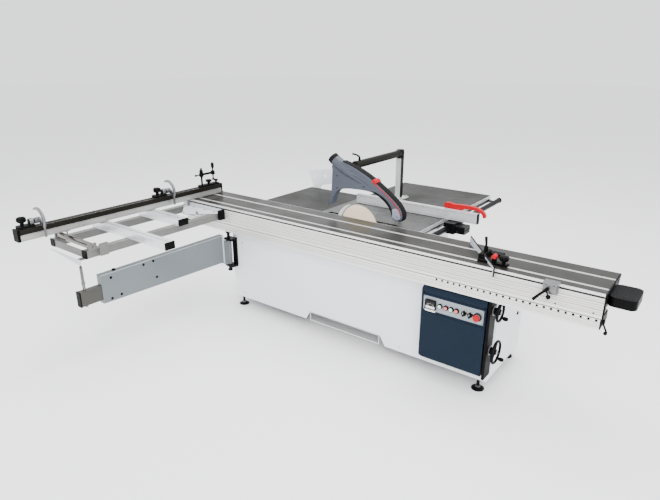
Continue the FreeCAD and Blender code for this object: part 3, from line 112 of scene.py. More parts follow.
def material(name, colour, metallic=0.0, roughness=0.5, grain=(90, 90, 90), bump=0.06,
             variation=0.07, smudge=0.08, edge=0.9, wear=None, wear_amount=0.5, pores=0.0,
             coat=0.0, ring=None, clear=0.0, gloss=0.5):
    """A worn workshop surface: grain, broad smudges, rounded edges and rubbed corners.

    grain is the texture's frequency along X, Y and Z, so unequal values give brushed metal.
    edge is the rounding of corners in millimetres, wear the colour that shows through on them,
    pores the depth of a cast or moulded texture, and ring a centre for turned circular marks.
    """
    made = bpy.data.materials.new(name)
    made.use_nodes = True
    tree = made.node_tree
    links = tree.links
    shader = tree.nodes["Principled BSDF"]
    where = node(tree, "TexCoord").outputs["Object"]

    scaled = node(tree, "Mapping")
    scaled.inputs["Scale"].default_value = grain
    links.new(where, scaled.inputs["Vector"])
    fine = node(tree, "TexNoise", Scale=1.0, Detail=5.0, Roughness=0.62)
    links.new(scaled.outputs[0], fine.inputs["Vector"])
    fine_value = fine.outputs[0]
    if ring is not None:
        away = node(tree, "VectorMath", operation="SUBTRACT")
        away.inputs[1].default_value = ring
        links.new(where, away.inputs[0])
        flat = node(tree, "VectorMath", operation="MULTIPLY")
        flat.inputs[1].default_value = (1, 0, 1)
        links.new(away.outputs[0], flat.inputs[0])
        length = node(tree, "VectorMath", operation="LENGTH")
        links.new(flat.outputs[0], length.inputs[0])
        turned = node(tree, "TexNoise", noise_dimensions="1D", Scale=900.0, Detail=3.0)
        links.new(length.outputs["Value"], turned.inputs["W"])
        fine_value = turned.outputs[0]
    broad = node(tree, "TexNoise", Scale=3.1, Detail=4.0, Roughness=0.55)
    links.new(where, broad.inputs["Vector"])
    specks = node(tree, "TexNoise", Scale=41.0, Detail=6.0, Roughness=0.7)
    links.new(where, specks.inputs["Vector"])

    tone = mixed(tree, spread(tree, broad.outputs[0], 0.3, 0.7, 0, 1),
                 shade(colour, 1 - variation), shade(colour, 1 + variation))
    tone = mixed(tree, spread(tree, fine_value, 0.35, 0.65, 0, 0.5), tone,
                 shade(colour, 1 - 1.6 * variation))

    rounding = node(tree, "Bevel", samples=3)
    rounding.inputs["Radius"].default_value = edge * 0.001
    if wear is not None:
        geometry = node(tree, "NewGeometry")
        facing = node(tree, "VectorMath", operation="DOT_PRODUCT")
        links.new(rounding.outputs[0], facing.inputs[0])
        links.new(geometry.outputs["Normal"], facing.inputs[1])
        corner = spread(tree, facing.outputs["Value"], 0.97, 0.80, 0, 1)
        chips = spread(tree, specks.outputs[0], 0.48, 0.62, 0, wear_amount)
        rubbed = node(tree, "Math", operation="MULTIPLY")
        links.new(corner, rubbed.inputs[0])
        links.new(chips, rubbed.inputs[1])
        tone = mixed(tree, rubbed.outputs[0], tone, wear + (1.0,))
    links.new(tone, shader.inputs["Base Color"])

    marks = node(tree, "Math", operation="ADD")
    links.new(spread(tree, fine_value, 0.3, 0.7, roughness - 0.06, roughness + 0.08),
              marks.inputs[0])
    links.new(spread(tree, broad.outputs[0], 0.35, 0.7, -smudge, smudge), marks.inputs[1])
    links.new(marks.outputs[0], shader.inputs["Roughness"])

    relief = node(tree, "Bump", Strength=bump, Distance=0.0006)
    links.new(fine_value, relief.inputs["Height"])
    links.new(rounding.outputs[0], relief.inputs["Normal"])
    normal = relief.outputs[0]
    if pores:
        cells = node(tree, "TexVoronoi", Scale=620.0)
        links.new(where, cells.inputs["Vector"])
        pitted = node(tree, "Bump", Strength=pores, Distance=0.0004)
        links.new(cells.outputs["Distance"], pitted.inputs["Height"])
        links.new(normal, pitted.inputs["Normal"])
        normal = pitted.outputs[0]
    links.new(normal, shader.inputs["Normal"])
    shader.inputs["Metallic"].default_value = metallic
    shader.inputs["Coat Weight"].default_value = coat
    shader.inputs["Coat Roughness"].default_value = 0.12
    shader.inputs["Transmission Weight"].default_value = clear
    shader.inputs["Specular IOR Level"].default_value = gloss
    return made


STEEL = (0.45, 0.45, 0.44)
M = {
    "white": material("white_powder_coat", (0.80, 0.82, 0.85), roughness=0.42, grain=(420,) * 3,
                      bump=0.10, variation=0.02, wear=(0.50, 0.52, 0.55), wear_amount=0.25,
                      edge=1.5, coat=0.15),
    "outrigger": material("grey_tube_enamel", (0.125, 0.125, 0.118), roughness=0.36,
                          grain=(380,) * 3, bump=0.07, variation=0.06, wear=STEEL, edge=1.0),
    "plate": material("pale_plate_enamel", (0.55, 0.58, 0.62), roughness=0.34, grain=(300,) * 3,
                      variation=0.04, wear=STEEL, edge=1.0),
    "arm": material("blue_grey_enamel", (0.128, 0.148, 0.158), roughness=0.40, grain=(360,) * 3,
                    bump=0.10, variation=0.07, smudge=0.1, wear=(0.5, 0.5, 0.5), edge=1.2),
    "tube": material("olive_grey_enamel", (0.034, 0.033, 0.027), roughness=0.42,
                     grain=(320,) * 3, variation=0.08, wear=STEEL, edge=1.0),
    "post": material("light_post_enamel", (0.50, 0.52, 0.52), roughness=0.38, grain=(320,) * 3,
                     variation=0.05, wear=STEEL),
    "dark": material("dark_olive_enamel", (0.007, 0.007, 0.0055), roughness=0.36,
                     grain=(320,) * 3, variation=0.14, wear=(0.15, 0.15, 0.14), edge=1.0,
                     gloss=0.07),
    "table": material("satin_table_enamel", (0.012, 0.012, 0.0095),
                      roughness=0.40, grain=(9, 260, 260), bump=0.08, variation=0.12,
                      smudge=0.07, wear=(0.2, 0.2, 0.18), edge=1.2, gloss=0.10),
    "iron": material("ground_iron", (0.034, 0.034, 0.030), metallic=0.6, roughness=0.28,
                     grain=(420, 14, 420), bump=0.14, variation=0.14, smudge=0.1,
                     wear=(0.5, 0.5, 0.48), edge=1.2),
    "cast": material("cast_iron_paint", (0.05, 0.052, 0.056), metallic=0.3, roughness=0.6,
                     grain=(150,) * 3, bump=0.5, variation=0.14, pores=0.35,
                     wear=(0.3, 0.3, 0.3), edge=1.5),
    "blue": material("slate_blue_moulding", (0.0058, 0.0120, 0.0225), roughness=0.40,
                     grain=(500,) * 3, bump=0.12, variation=0.10, pores=0.10,
                     wear=(0.03, 0.045, 0.07), edge=1.5, gloss=0.08),
    "hood": material("grey_blue_moulding", (0.056, 0.064, 0.087), roughness=0.36,
                     grain=(400,) * 3, bump=0.08, variation=0.08, pores=0.08,
                     wear=(0.2, 0.21, 0.25), edge=2.0, coat=0.1, gloss=0.35),
    "lens": material("smoked_nose_window", (0.24, 0.26, 0.34), roughness=0.18,
                     grain=(300,) * 3, bump=0.03, variation=0.06, edge=1.0, coat=0.4),
    "side": material("bright_extrusion", (0.78, 0.77, 0.75), metallic=0.35, roughness=0.36,
                     grain=(5, 700, 700), bump=0.10, variation=0.05, wear=(0.9, 0.9, 0.9)),
    "rib": material("rib_shadow", (0.36, 0.31, 0.28), metallic=0.4, roughness=0.45,
                    grain=(5, 500, 500), bump=0.10, variation=0.12, edge=0.2),
    "top": material("brushed_table_top", (0.020, 0.019, 0.015), metallic=0.3, roughness=0.34,
                    grain=(4, 620, 620), bump=0.16, variation=0.18, smudge=0.10,
                    wear=(0.6, 0.6, 0.58), gloss=0.16),
    "alu": material("anodised_bar", (0.80, 0.81, 0.83), metallic=0.55, roughness=0.30,
                    grain=(6, 640, 640), bump=0.10, variation=0.06, wear=(0.9, 0.9, 0.9)),
    "alu_y": material("anodised_fence", (0.40, 0.40, 0.38), metallic=0.65, roughness=0.34,
                      grain=(640, 6, 640), bump=0.10, variation=0.08, wear=(0.8, 0.8, 0.8)),
    "fence_top": material("dark_fence_top", (0.011, 0.010, 0.007), metallic=0.2, roughness=0.4,
                          grain=(600, 5, 600), bump=0.14, variation=0.16,
                          wear=(0.5, 0.5, 0.48), gloss=0.10),
    "steel": material("ground_steel", STEEL, metallic=1.0, roughness=0.26, grain=(12, 420, 420),
                      bump=0.10, variation=0.08),
    "zinc": material("zinc_plate", (0.20, 0.20, 0.205), metallic=0.9, roughness=0.32,
                     grain=(120,) * 3, bump=0.10, variation=0.15, edge=0.8),
    "chrome": material("chrome_roller", (0.22, 0.21, 0.20), metallic=1.0, roughness=0.12,
                       grain=(900, 40, 40), bump=0.02, variation=0.04, smudge=0.03),
    "blade": material("coated_blade", (0.95, 0.79, 0.60), metallic=0.1, roughness=0.42,
                      grain=(400,) * 3, bump=0.12, variation=0.05, edge=0.3,
                      ring=tuple(at(*BLADE_CENTRE))),
    "knife": material("riving_knife_steel", (0.84, 0.84, 0.83), metallic=0.2, roughness=0.32,
                      grain=(260, 40, 260), bump=0.08, variation=0.04, edge=0.4),
    "black": material("black_moulding", (0.003, 0.003, 0.0032), roughness=0.46,
                      grain=(500,) * 3, bump=0.12, variation=0.18, pores=0.18,
                      wear=(0.012, 0.012, 0.012), edge=1.0, gloss=0.05),
    "black_steel": material("black_oxide", (0.004, 0.004, 0.0044), metallic=0.1,
                            roughness=0.36, grain=(260,) * 3, bump=0.10, variation=0.18,
                            wear=(0.10, 0.10, 0.10), edge=0.8, gloss=0.07),
    "rubber": material("rubber", (0.007, 0.007, 0.007), roughness=0.72, grain=(300,) * 3,
                       bump=0.3, variation=0.18, pores=0.3, gloss=0.1),
    "red": material("red_moulding", (0.42, 0.003, 0.010), roughness=0.40, grain=(420,) * 3,
                    bump=0.06, variation=0.07, wear=(0.6, 0.08, 0.07), wear_amount=0.2,
                    edge=1.2, gloss=0.12),
    "red_lens": material("red_button", (0.66, 0.12, 0.12), roughness=0.24, bump=0.03,
                         grain=(500,) * 3, variation=0.05, coat=0.5, edge=0.5),
    "green_lens": material("green_button", (0.48, 0.74, 0.62), roughness=0.24, bump=0.03,
                           grain=(500,) * 3, variation=0.05, coat=0.5, edge=0.5),
    "pale": material("instrument_film", (0.24, 0.27, 0.30), metallic=0.3, roughness=0.36,
                     grain=(8, 500, 500), bump=0.10, variation=0.06, edge=0.4),
    "ink": material("black_ink", (0.010, 0.010, 0.010), roughness=0.6, grain=(700,) * 3,
                    bump=0.05, variation=0.2, edge=0.1, gloss=0.2),
    "dial": material("dial_card", (0.82, 0.82, 0.80), roughness=0.55, grain=(800,) * 3,
                     bump=0.05, variation=0.02, edge=0.2),
    "motor": material("motor_enamel", (0.03, 0.055, 0.08), roughness=0.45, grain=(200,) * 3,
                      bump=0.3, variation=0.08, pores=0.2, wear=(0.3, 0.3, 0.3), edge=1.0),
    "belt": material("ribbed_belt", (0.012, 0.012, 0.012), roughness=0.7, grain=(40, 900, 40),
                     bump=0.5, variation=0.15),
}

NODE_MATERIALS = {
    "white": ["cabinet", "hose_bracket"],
    "black_steel": ["leveling_feet", "table_lock_lever", "hold_down_arm", "fence_rail",
                    "rip_carriage", "arm_hinge", "hold_down_spindle"],
    "side": ["base_beam", "table_profile"],
    "steel": ["beam_guide_rods", "table_guide_rods", "ball_cage", "arbor", "scoring_spindle"],
    "black": ["table_end_caps", "edge_clamp_lever", "fence_fittings", "stop_carriage_a",
              "stop_carriage_b", "overarm_lever", "lift_handwheel", "tilt_handwheel",
              "selector_1", "selector_2"],
    "zinc": ["edge_clamp", "motor_pulley"],
    "plate": ["edging_plate"],
    "iron": ["main_table", "throat_plate"],
    "table": ["rear_table", "side_table"],
    "alu": ["outrigger_bars", "rip_fence", "flip_stop_a", "flip_stop_b"],
    "alu_y": ["crosscut_fence"],
    "cast": ["trunnions", "tilt_frame", "saw_carriage"],
    "blade": ["saw_blade"],
    "knife": ["riving_knife"],
    "motor": ["motor"],
    "belt": ["drive_belt"],
    "arm": ["swing_arm"],
    "tube": ["arm_extension"],
    "outrigger": ["outrigger_frame"],
    "chrome": ["end_roller"],
    "red": ["rip_lock_lever", "emergency_stop", "push_button_2", "push_button_4"],
    "post": ["guard_post"],
    "dark": ["overarm"],
    "hood": ["guard_hood"],
    "blue": ["control_box"],
    "pale": ["instrument_plate"],
    "green_lens": ["push_button_1", "push_button_3"],
}
BEVELLED = {
    "cabinet": 1.2, "main_table": 1.0, "throat_plate": 0.4, "rear_table": 1.0, "side_table": 1.0,
    "outrigger_frame": 0.8, "outrigger_bars": 0.8, "crosscut_fence": 0.5, "swing_arm": 1.0,
    "rip_fence": 0.6, "rip_carriage": 1.2, "hose_bracket": 0.6, "edging_plate": 0.5,
    "edge_clamp": 0.5, "arm_hinge": 0.6, "tilt_frame": 1.2, "saw_carriage": 1.2,
    "trunnions": 1.2, "flip_stop_a": 1.0, "flip_stop_b": 1.0, "fence_fittings": 0.8,
    "stop_carriage_a": 1.0, "stop_carriage_b": 1.0, "guard_post": 1.0, "arm_extension": 0.8,
    "table_end_caps": 0.8, "hold_down_arm": 0.6,
}


def dress(name, look):
    """Give a CAD node its material, and real bevels where its corners are plain."""
    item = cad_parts[name]
    item.data.materials.clear()
    item.data.materials.append(M[look])
    if name in BEVELLED:
        weld = item.modifiers.new("weld", "WELD")
        weld.merge_threshold = 0.00002
        bevel = item.modifiers.new("bevel", "BEVEL")
        bevel.width = BEVELLED[name] * 0.001
        bevel.segments = 2
        bevel.limit_method = "ANGLE"
        bevel.angle_limit = math.radians(40)
        bevel.use_clamp_overlap = False
        item.modifiers.new("normals", "WEIGHTED_NORMAL")


def repaint(name, look, chosen):
    """Give some faces of a CAD node another material, chosen by their normal and centre."""
    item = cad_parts[name]
    item.data.materials.append(M[look])
    index = len(item.data.materials) - 1
    for face in item.data.polygons:
        if chosen(face.normal, (Vector(face.center) - DATUM) * 1000):
            face.material_index = index


for look, names in NODE_MATERIALS.items():
    for name in names:
        dress(name, look)
repaint("table_profile", "top", lambda n, c: n.z > 0.9 and c.z > -1)
repaint("crosscut_fence", "fence_top", lambda n, c: c.z > 53.9)
repaint("crosscut_fence", "ink", lambda n, c: 44.1 < c.z < 53.9 and c.x > -3084)
fin_run = Vector((-566, -368, 0)) - Vector((-843, -40, 0))
fin_side = Vector((-fin_run.y, fin_run.x, 0)).normalized()
repaint("edging_plate", "black", lambda n, c: n.z > 0.2 or not
        -0.5 < (c - Vector((-843, -40, 0))).dot(fin_side) < 5.5)
repaint("rip_fence", "black", lambda n, c: c.x > -974.9)
# Painted shade: the post's X-facing sides take the dark overarm enamel in place of the shade on the side
# turned from the light; the Y faces keep the light post enamel.
repaint("guard_post", "dark", lambda n, c: abs(n.x) > 0.9 and c.z > 11)
repaint("outrigger_frame", "plate", lambda n, c: n.z > 0.9 and -561 < c.y < -372 and c.z > -50)
repaint("outrigger_frame", "plate", lambda n, c: c.y < -1500 and c.z < -100)
repaint("outrigger_frame", "plate", lambda n, c: c.y > -373)
repaint("outrigger_frame", "black", lambda n, c: -2737 < c.x < -2711.5 and c.y > -403)
repaint("outrigger_frame", "black", lambda n, c: c.x > -2366)
repaint("fence_rail", "alu", lambda n, c: c.x < -1213.9 and c.z > -25)
repaint("swing_arm", "black", lambda n, c: c.z > -239.5)
repaint("arm_extension", "black", lambda n, c: c.y < -1544.9)
repaint("instrument_plate", "black", lambda n, c: -963 < c.x < -893 and c.y < -353.1)
repaint("instrument_plate", "chrome", lambda n, c: -884 < c.x < -746 and c.y < -353.1)


# ---------------------------------------------------------------- mesh tools

def rows(profile, origin, axis, segments, lobes=0, depth=0.0):
    """Rings of points turned about an axis; lobes give a star outline."""
    axis = axis.normalized()
    side = axis.orthogonal().normalized()
    other = axis.cross(side)
    rings = []
    for radius, height in profile:
        ring = []
        for i in range(segments):
            angle = 2 * math.pi * i / segments
            r = radius * (1 + depth * math.cos(lobes * angle)) if lobes else radius
            ring.append(origin + (axis * height + side * r * math.cos(angle)
                                  + other * r * math.sin(angle)) * 0.001)
        rings.append(ring)
    return rings


class Shape:
    """Collects solids into one mesh, with lengths in millimetres."""

    def __init__(self):
        self.bm = bmesh.new()

    def skin(self, rings, capped=True, closed=False):
        """Join rings of points into a tube, with its ends closed."""
        made = [[self.bm.verts.new(p) for p in ring] for ring in rings]
        pairs = list(zip(made, made[1:]))
        if closed:
            pairs.append((made[-1], made[0]))
        for low, high in pairs:
            count = len(low)
            for i in range(count):
                self.bm.faces.new((low[i], low[(i + 1) % count], high[(i + 1) % count], high[i]))
        if capped and not closed:
            self.bm.faces.new(list(reversed(made[0])))
            self.bm.faces.new(made[-1])
        return self

    def lathe(self, profile, origin, axis=Z, segments=40, lobes=0, depth=0.0):
        return self.skin(rows(profile, origin, axis, segments, lobes, depth))

    def rod(self, radius, length, origin, axis=Z, segments=32):
        return self.lathe([(radius, 0), (radius, length)], origin, axis, segments)

    def pipe(self, points, radius, segments=16):
        """A round bar along points, with its corners left to the points given."""
        rings = []
        side = (points[1] - points[0]).orthogonal().normalized()
        for i, here in enumerate(points):
            ahead = points[min(i + 1, len(points) - 1)]
            behind = points[max(i - 1, 0)]
            run = (ahead - behind).normalized()
            side = (side - run * side.dot(run)).normalized()
            other = run.cross(side)
            r = (radius[i] if isinstance(radius, (list, tuple)) else radius) * 0.001
            rings.append([here + (side * math.cos(a) + other * math.sin(a)) * r
                          for a in (2 * math.pi * k / segments for k in range(segments))])
        return self.skin(rings)

    def box(self, x, y, z):
        corners = [at(x[i], y[j], z[k]) for k in (0, 1) for i, j in ((0, 0), (1, 0), (1, 1), (0, 1))]
        return self.skin([corners[:4], corners[4:]])

    def prism(self, outline, plane, span):
        """An outline in a plane, drawn out along the third axis."""
        def place(a, b, c):
            return at(*{"XZ": (a, c, b), "XY": (a, b, c), "YZ": (c, a, b)}[plane])
        return self.skin([[place(a, b, c) for a, b in outline] for c in span])

    def loop(self, outline, plane, low, high, width):
        """A raised rim that follows a closed outline."""
        inner = inset(outline, width)
        def place(a, b, c):
            return at(*{"XZ": (a, c, b), "XY": (a, b, c), "YZ": (c, a, b)}[plane])
        rings = [[place(a, b, c) for a, b in o]
                 for o, c in ((outline, low), (outline, high), (inner, high), (inner, low))]
        return self.skin(rings, closed=True)

    def piece(self, name, look, body="machine_frame", bevel=0, segments=3,
              replaces=(), subdivide=0, angle=35):
        """Finish the mesh as a piece that rides on a body, in the look's material."""
        bmesh.ops.recalc_face_normals(self.bm, faces=self.bm.faces)
        mesh = bpy.data.meshes.new(name)
        self.bm.to_mesh(mesh)
        self.bm.free()
        mesh.polygons.foreach_set("use_smooth", [True] * len(mesh.polygons))
        mesh.materials.append(M[look])
        item = bpy.data.objects.new(name, mesh)
        bpy.context.scene.collection.objects.link(item)
        if bevel:
            rounding = item.modifiers.new("bevel", "BEVEL")
            rounding.width = bevel * 0.001
            rounding.segments = segments
            rounding.limit_method = "ANGLE"
            rounding.angle_limit = math.radians(angle)
        else:
            mesh.set_sharp_from_angle(angle=math.radians(angle))
        if subdivide:
            smooth = item.modifiers.new("subdivide", "SUBSURF")
            smooth.levels = smooth.render_levels = subdivide
        if bevel:
            item.modifiers.new("normals", "WEIGHTED_NORMAL")
        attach(item, body)
        if replaces:
            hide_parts(*replaces)
        return item


def inset(outline, distance):
    """An outline moved towards its inside by a distance."""
    count = len(outline)
    area = sum(outline[i][0] * outline[(i + 1) % count][1] - outline[(i + 1) % count][0] * outline[i][1]
               for i in range(count))
    sign = 1 if area > 0 else -1
    moved = []
    for i in range(count):
        before, here, after = (Vector(outline[j % count]) for j in (i - 1, i, i + 1))
        first, second = (here - before).normalized(), (after - here).normalized()
        normal = Vector((-first.y, first.x)) + Vector((-second.y, second.x))
        normal = normal.normalized() if normal.length > 1e-6 else Vector((-first.y, first.x))
        cosine = max(0.4, normal.dot(Vector((-first.y, first.x))))
        moved.append(tuple(here + normal * (sign * distance / cosine)))
    return moved


def rounded_outline(low, high, radius, steps=6):
    """A rectangle with round corners, as a list of points."""
    points = []
    for cx, cy, start in ((high[0] - radius, high[1] - radius, 0), (low[0] + radius, high[1] - radius, 90),
                          (low[0] + radius, low[1] + radius, 180), (high[0] - radius, low[1] + radius, 270)):
        for i in range(steps + 1):
            angle = math.radians(start + 90 * i / steps)
            points.append((cx + radius * math.cos(angle), cy + radius * math.sin(angle)))
    return points


def smooth_path(points, steps=8):
    """A Catmull-Rom curve through points."""
    result = []
    for i in range(len(points) - 1):
        p0, p1, p2, p3 = (Vector(points[min(max(j, 0), len(points) - 1)]) for j in (i - 1, i, i + 1, i + 2))
        for k in range(steps):
            t = k / steps
            result.append(0.5 * ((2 * p1) + (p2 - p0) * t + (2 * p0 - 5 * p1 + 4 * p2 - p3) * t * t
                                 + (3 * p1 - p0 - 3 * p2 + p3) * t ** 3))
    result.append(Vector(points[-1]))
    return result


def screw(shape, origin, axis, radius=5.0, height=4.0):
    """A socket-head screw."""
    return shape.lathe([(0.2, height * 0.35), (radius * 0.5, height * 0.35), (radius * 0.5, height),
                        (radius * 0.86, height), (radius, height * 0.8), (radius, 0), (0.2, 0)],
                       origin, axis, 18)


def hexagon(shape, origin, axis, radius=8.0, height=5.0):
    """A hexagon head with a washer under it."""
    shape.lathe([(radius * 1.35, 0), (radius * 1.35, 1.2)], origin, axis, 28)
    return shape.lathe([(radius * 0.9, 1.2), (radius, 2.0), (radius, height), (radius * 0.8, height + 1)],
                       origin, axis, 6)


def star_knob(name, origin, axis, radius, height, body, lobes=6):
    """A lobed clamping knob with a raised cap, over the plain CAD knob."""
    shape = Shape()
    shape.lathe([(radius * 0.42, 0), (radius * 0.46, height * 0.28), (radius * 0.9, height * 0.42),
                 (radius * 1.04, height * 0.56), (radius * 1.04, height * 0.82),
                 (radius * 0.92, height * 0.97), (radius * 0.5, height * 1.02),
                 (radius * 0.3, height * 1.05)], origin, axis, 72, lobes, 0.10)
    shape.piece(name, "black", body)


# ---------------------------------------------------------------- sliding table and beam

def sliding_table():
    strips = Shape()
    for centre in (-280, -120):
        for side in (-1, 1):
            edge = centre + side * 6
            strips.box((-3191, -9), sorted((edge + side * 0.3, edge + side * 3.2)), (-0.3, 0.15))
    strips.box((-3191, -9), (-349.2, -346.2), (-0.3, 0.15))
    strips.box((-3191, -9), (-5.0, -2.4), (-0.3, 0.15))
    strips.piece("slot_edges", "alu", "sliding_table")

    line = Shape()
    line.box((-3190, -10), (-350.15, -349.2), (-14.6, -13.4))
    line.box((-3190, -10), (-350.15, -349.2), (-25.6, -24.4))
    line.piece("side_slot_lips", "zinc", "sliding_table")
    ribs = Shape()
    for z in (-37, -50, -63, -76, -89, -102, -115):
        ribs.box((-3190, -10), (-350.2, -349.5), (z - 1.0, z + 1.0))
    ribs.piece("side_ribs", "rib", "sliding_table")
    gap = Shape()
    gap.box((-3190, -10), (-350.12, -349.5), (-24.0, -15.0))
    gap.piece("side_slot_shadow", "ink", "sliding_table")

    plugs = Shape()
    for x in (-48, -232):
        screw(plugs, at(x, -350.2, -112), -Y, 4.2, 1.8)
    for y, z in ((-335, -20), (-60, -20), (-200, -14), (-335, -110)):
        screw(plugs, at(0, y, z), X, 5, 2.4)
    plugs.piece("table_screws", "black_steel", "sliding_table")

    ribs = Shape()
    for i in range(7):
        ribs.box((16 + 14 * i, 22 + 14 * i), (-298, -138), (-18.5, -16.8))
    ribs.piece("push_handle_ribs", "black", "sliding_table", bevel=0.7)

    screws = Shape()
    for i in range(25):
        screw(screws, at(-905 + 36.5 * i, -350.1, -147.5), -Y, 6.6, 1.8)
    screws.piece("beam_screws", "black_steel")

    lips = Shape()
    lips.box((-3168, -14), (-350.9, -350.0), (-157.6, -155.8))
    lips.box((-3168, -14), (-350.9, -350.0), (-181.2, -179.6))
    lips.box((-3168, -14), (-350.6, -350.0), (-170.0, -168.2))
    lips.piece("beam_lips", "rib")

    end = Shape()
    end.prism(rounded_outline((-346, -196), (-190, -142), 3), "YZ", (-12, -6.5))
    end.piece("beam_end_plate", "black", bevel=0.8)


def edging_plate():
    far, near = Vector((-843, -40, 0)), Vector((-566, -368, 0))
    along = (near - far).normalized()
    across = Vector((-along.y, along.x, 0))
    length = (near - far).length
    rim = Shape()
    top = [(-1.5, 1), (-1.5, 53.5), (length + 1.5, 16.5), (length + 1.5, -43)]
    inner = [(2.5, 1), (2.5, 49), (length - 3, 13), (length - 3, -43)]
    rings = []
    for (u, v), (p, q) in zip(top, inner):
        ring = []
        for a, b, off in ((u, v, -1.2), (u, v, 6.2), (p, q, 6.2), (p, q, -1.2)):
            place = far + along * a + across * off
            ring.append(at(place.x, place.y, b))
        rings.append(ring)
    rim.skin(rings)
    rim.piece("edging_rim", "rubber", "edging_plate", bevel=0.5)
    star_knob("edging_knob", at(-545, -276, 20), Z, 25, 36, "edging_plate", 6)
    cam = Shape()
    cam.prism([(-612, 33), (-588, 33), (-585, 46), (-592, 56), (-604, 57), (-613, 48)], "XZ", (-292, -260))
    cam.piece("edging_cam", "red", "edging_plate", bevel=2.5)
    grip = Shape()
    grip.pipe([at(-684, -190, 40), at(-684, -190, 58), at(-690, -178, 74), at(-704, -152, 104)],
              [7, 7, 7.5, 9], 18)
    grip.piece("edging_lever_grip", "black", "edging_plate", bevel=1.5)


def edge_clamp():
    grip = Shape()
    grip.pipe([at(-276, -388, -34), at(-282, -388, -38), at(-300, -388, -58), at(-334, -388, -99)],
              [7, 6, 6.2, 8.6], 18)
    grip.piece("edge_clamp_grip", "black", "edge_clamp_lever", bevel=1.5)
    knob = Shape()
    knob.lathe([(0.3, -12.6), (6, -11.4), (10.6, -7), (12.6, 0), (10.6, 7), (6, 11.4), (0.3, 12.6)],
               at(-262, -388, -70), Z, 28)
    knob.piece("edge_clamp_ball", "black", "edge_clamp_lever")
    bolts = Shape()
    for x in (-288, -246):
        hexagon(bolts, at(x, -372.2, -14), -Y, 6, 4)
    bolts.piece("edge_clamp_bolts", "zinc", "sliding_table", bevel=0.3)


# ---------------------------------------------------------------- fence, stops and outrigger

def crosscut_fence():
    ticks = Shape()
    for i in range(160):
        y = -1690 + i * 10
        long = 9 if i % 10 == 0 else (6.5 if i % 5 == 0 else 4)
        ticks.box((-3087.5, -3087.5 + long), (y, y + 0.9), (80.02, 80.16))
    ticks.piece("fence_ticks", "dial", "crosscut_fence")
    face = Shape()
    face.box((-3074.9, -3074.2), (-1698, -52), (8, 9.6))
    face.box((-3074.9, -3074.2), (-1698, -52), (40, 41.4))
    face.piece("fence_face_lines", "zinc", "crosscut_fence")
    ribs = Shape()
    for i in range(6):
        ribs.box((-3070.8, -3069.6), (-1713.5 + 2.4 * i, -1712.3 + 2.4 * i), (6, 80))
    ribs.piece("fence_cap_ribs", "black", "crosscut_fence")
    for tag, shift in (("a", 0), ("b", 1000)):
        body = "stop_carriage_" + tag
        y = -1560 + shift
        star_knob("stop_knob_" + tag, at(FENCE_X, y - 104, 100), Z, 26, 52, body, 5)
        hub = Shape()
        hub.lathe([(21, 0), (23, 2), (23, 22), (20, 26), (12, 28)], at(FENCE_X, y - 62, 112), Y, 44)
        hub.piece("stop_hub_" + tag, "zinc", body, bevel=0.6)
        horn = Shape()
        points = [(FENCE_X + 73 * math.cos(math.radians(a)), 112 + 73 * math.sin(math.radians(a)))
                  for a in range(116, -34, -6)]
        rings = []
        for i, (px, pz) in enumerate(points):
            out = Vector((px - FENCE_X, 0, pz - 112)).normalized()
            half = 7.5 + 6.0 * math.sin(math.pi * i / (len(points) - 1))
            ring = []
            for k in range(14):
                a = 2 * math.pi * k / 14
                ring.append(at(px, y, pz) + (out * math.cos(a) * half + Y * math.sin(a) * 10.0) * 0.001)
            rings.append(ring)
        horn.skin(rings)
        horn.prism([(-3118, 128), (-3096, 134), (-3060, 120), (-3036, 96), (-3034, 20), (-3040, 8),
                    (-3047, 9), (-3050, 70), (-3064, 94), (-3112, 98)], "XZ", (y - 6, y + 6))
        horn.lathe([(18, -28), (19.5, -26), (19.5, 2), (17, 5), (8, 6)], at(FENCE_X, y, 112), Y, 44)
        horn.piece("stop_horn_" + tag, "zinc", "flip_stop_" + tag, bevel=1.2,
                   replaces=["flip_stop_" + tag])
    star_knob("hold_down_knob", at(FENCE_X, -156, 96), Z, 22, 34, "crosscut_fence", 6)
    star_knob("hold_down_side_knob", at(FENCE_X, -76, 95), Z, 15, 25, "crosscut_fence", 6)
    handle = Shape()
    handle.lathe([(7, 0), (10, 3), (12.5, 12), (13.6, 26), (12.6, 36), (8, 45), (1, 48)],
                 at(FENCE_X, -104, 217.5), Z, 32)
    handle.piece("hold_down_grip", "black", "hold_down_spindle")
    clamp = Shape()
    clamp.lathe([(9, -2), (16, 0), (18, 4), (18, 30), (16, 34), (9, 36)], at(FENCE_X, -226, 164), Z, 36)
    clamp.lathe([(9, -2), (15, 0), (17, 4), (17, 26), (15, 30), (9, 32)], at(FENCE_X, -104, 164), Z, 36)
    clamp.lathe([(9, 0), (13, 2), (16, 8), (16, 14), (10, 20), (1, 22)], at(FENCE_X, -226, 198), Z, 36)
    clamp.piece("hold_down_clamps", "black", "hold_down_arm")
    foot = Shape()
    foot.lathe([(14.2, 0), (14.6, 1.5), (14.6, 5), (12, 8.6), (7, 10)], at(FENCE_X, -104, 119.6), Z, 36)
    foot.piece("hold_down_pad", "rubber", "hold_down_spindle")


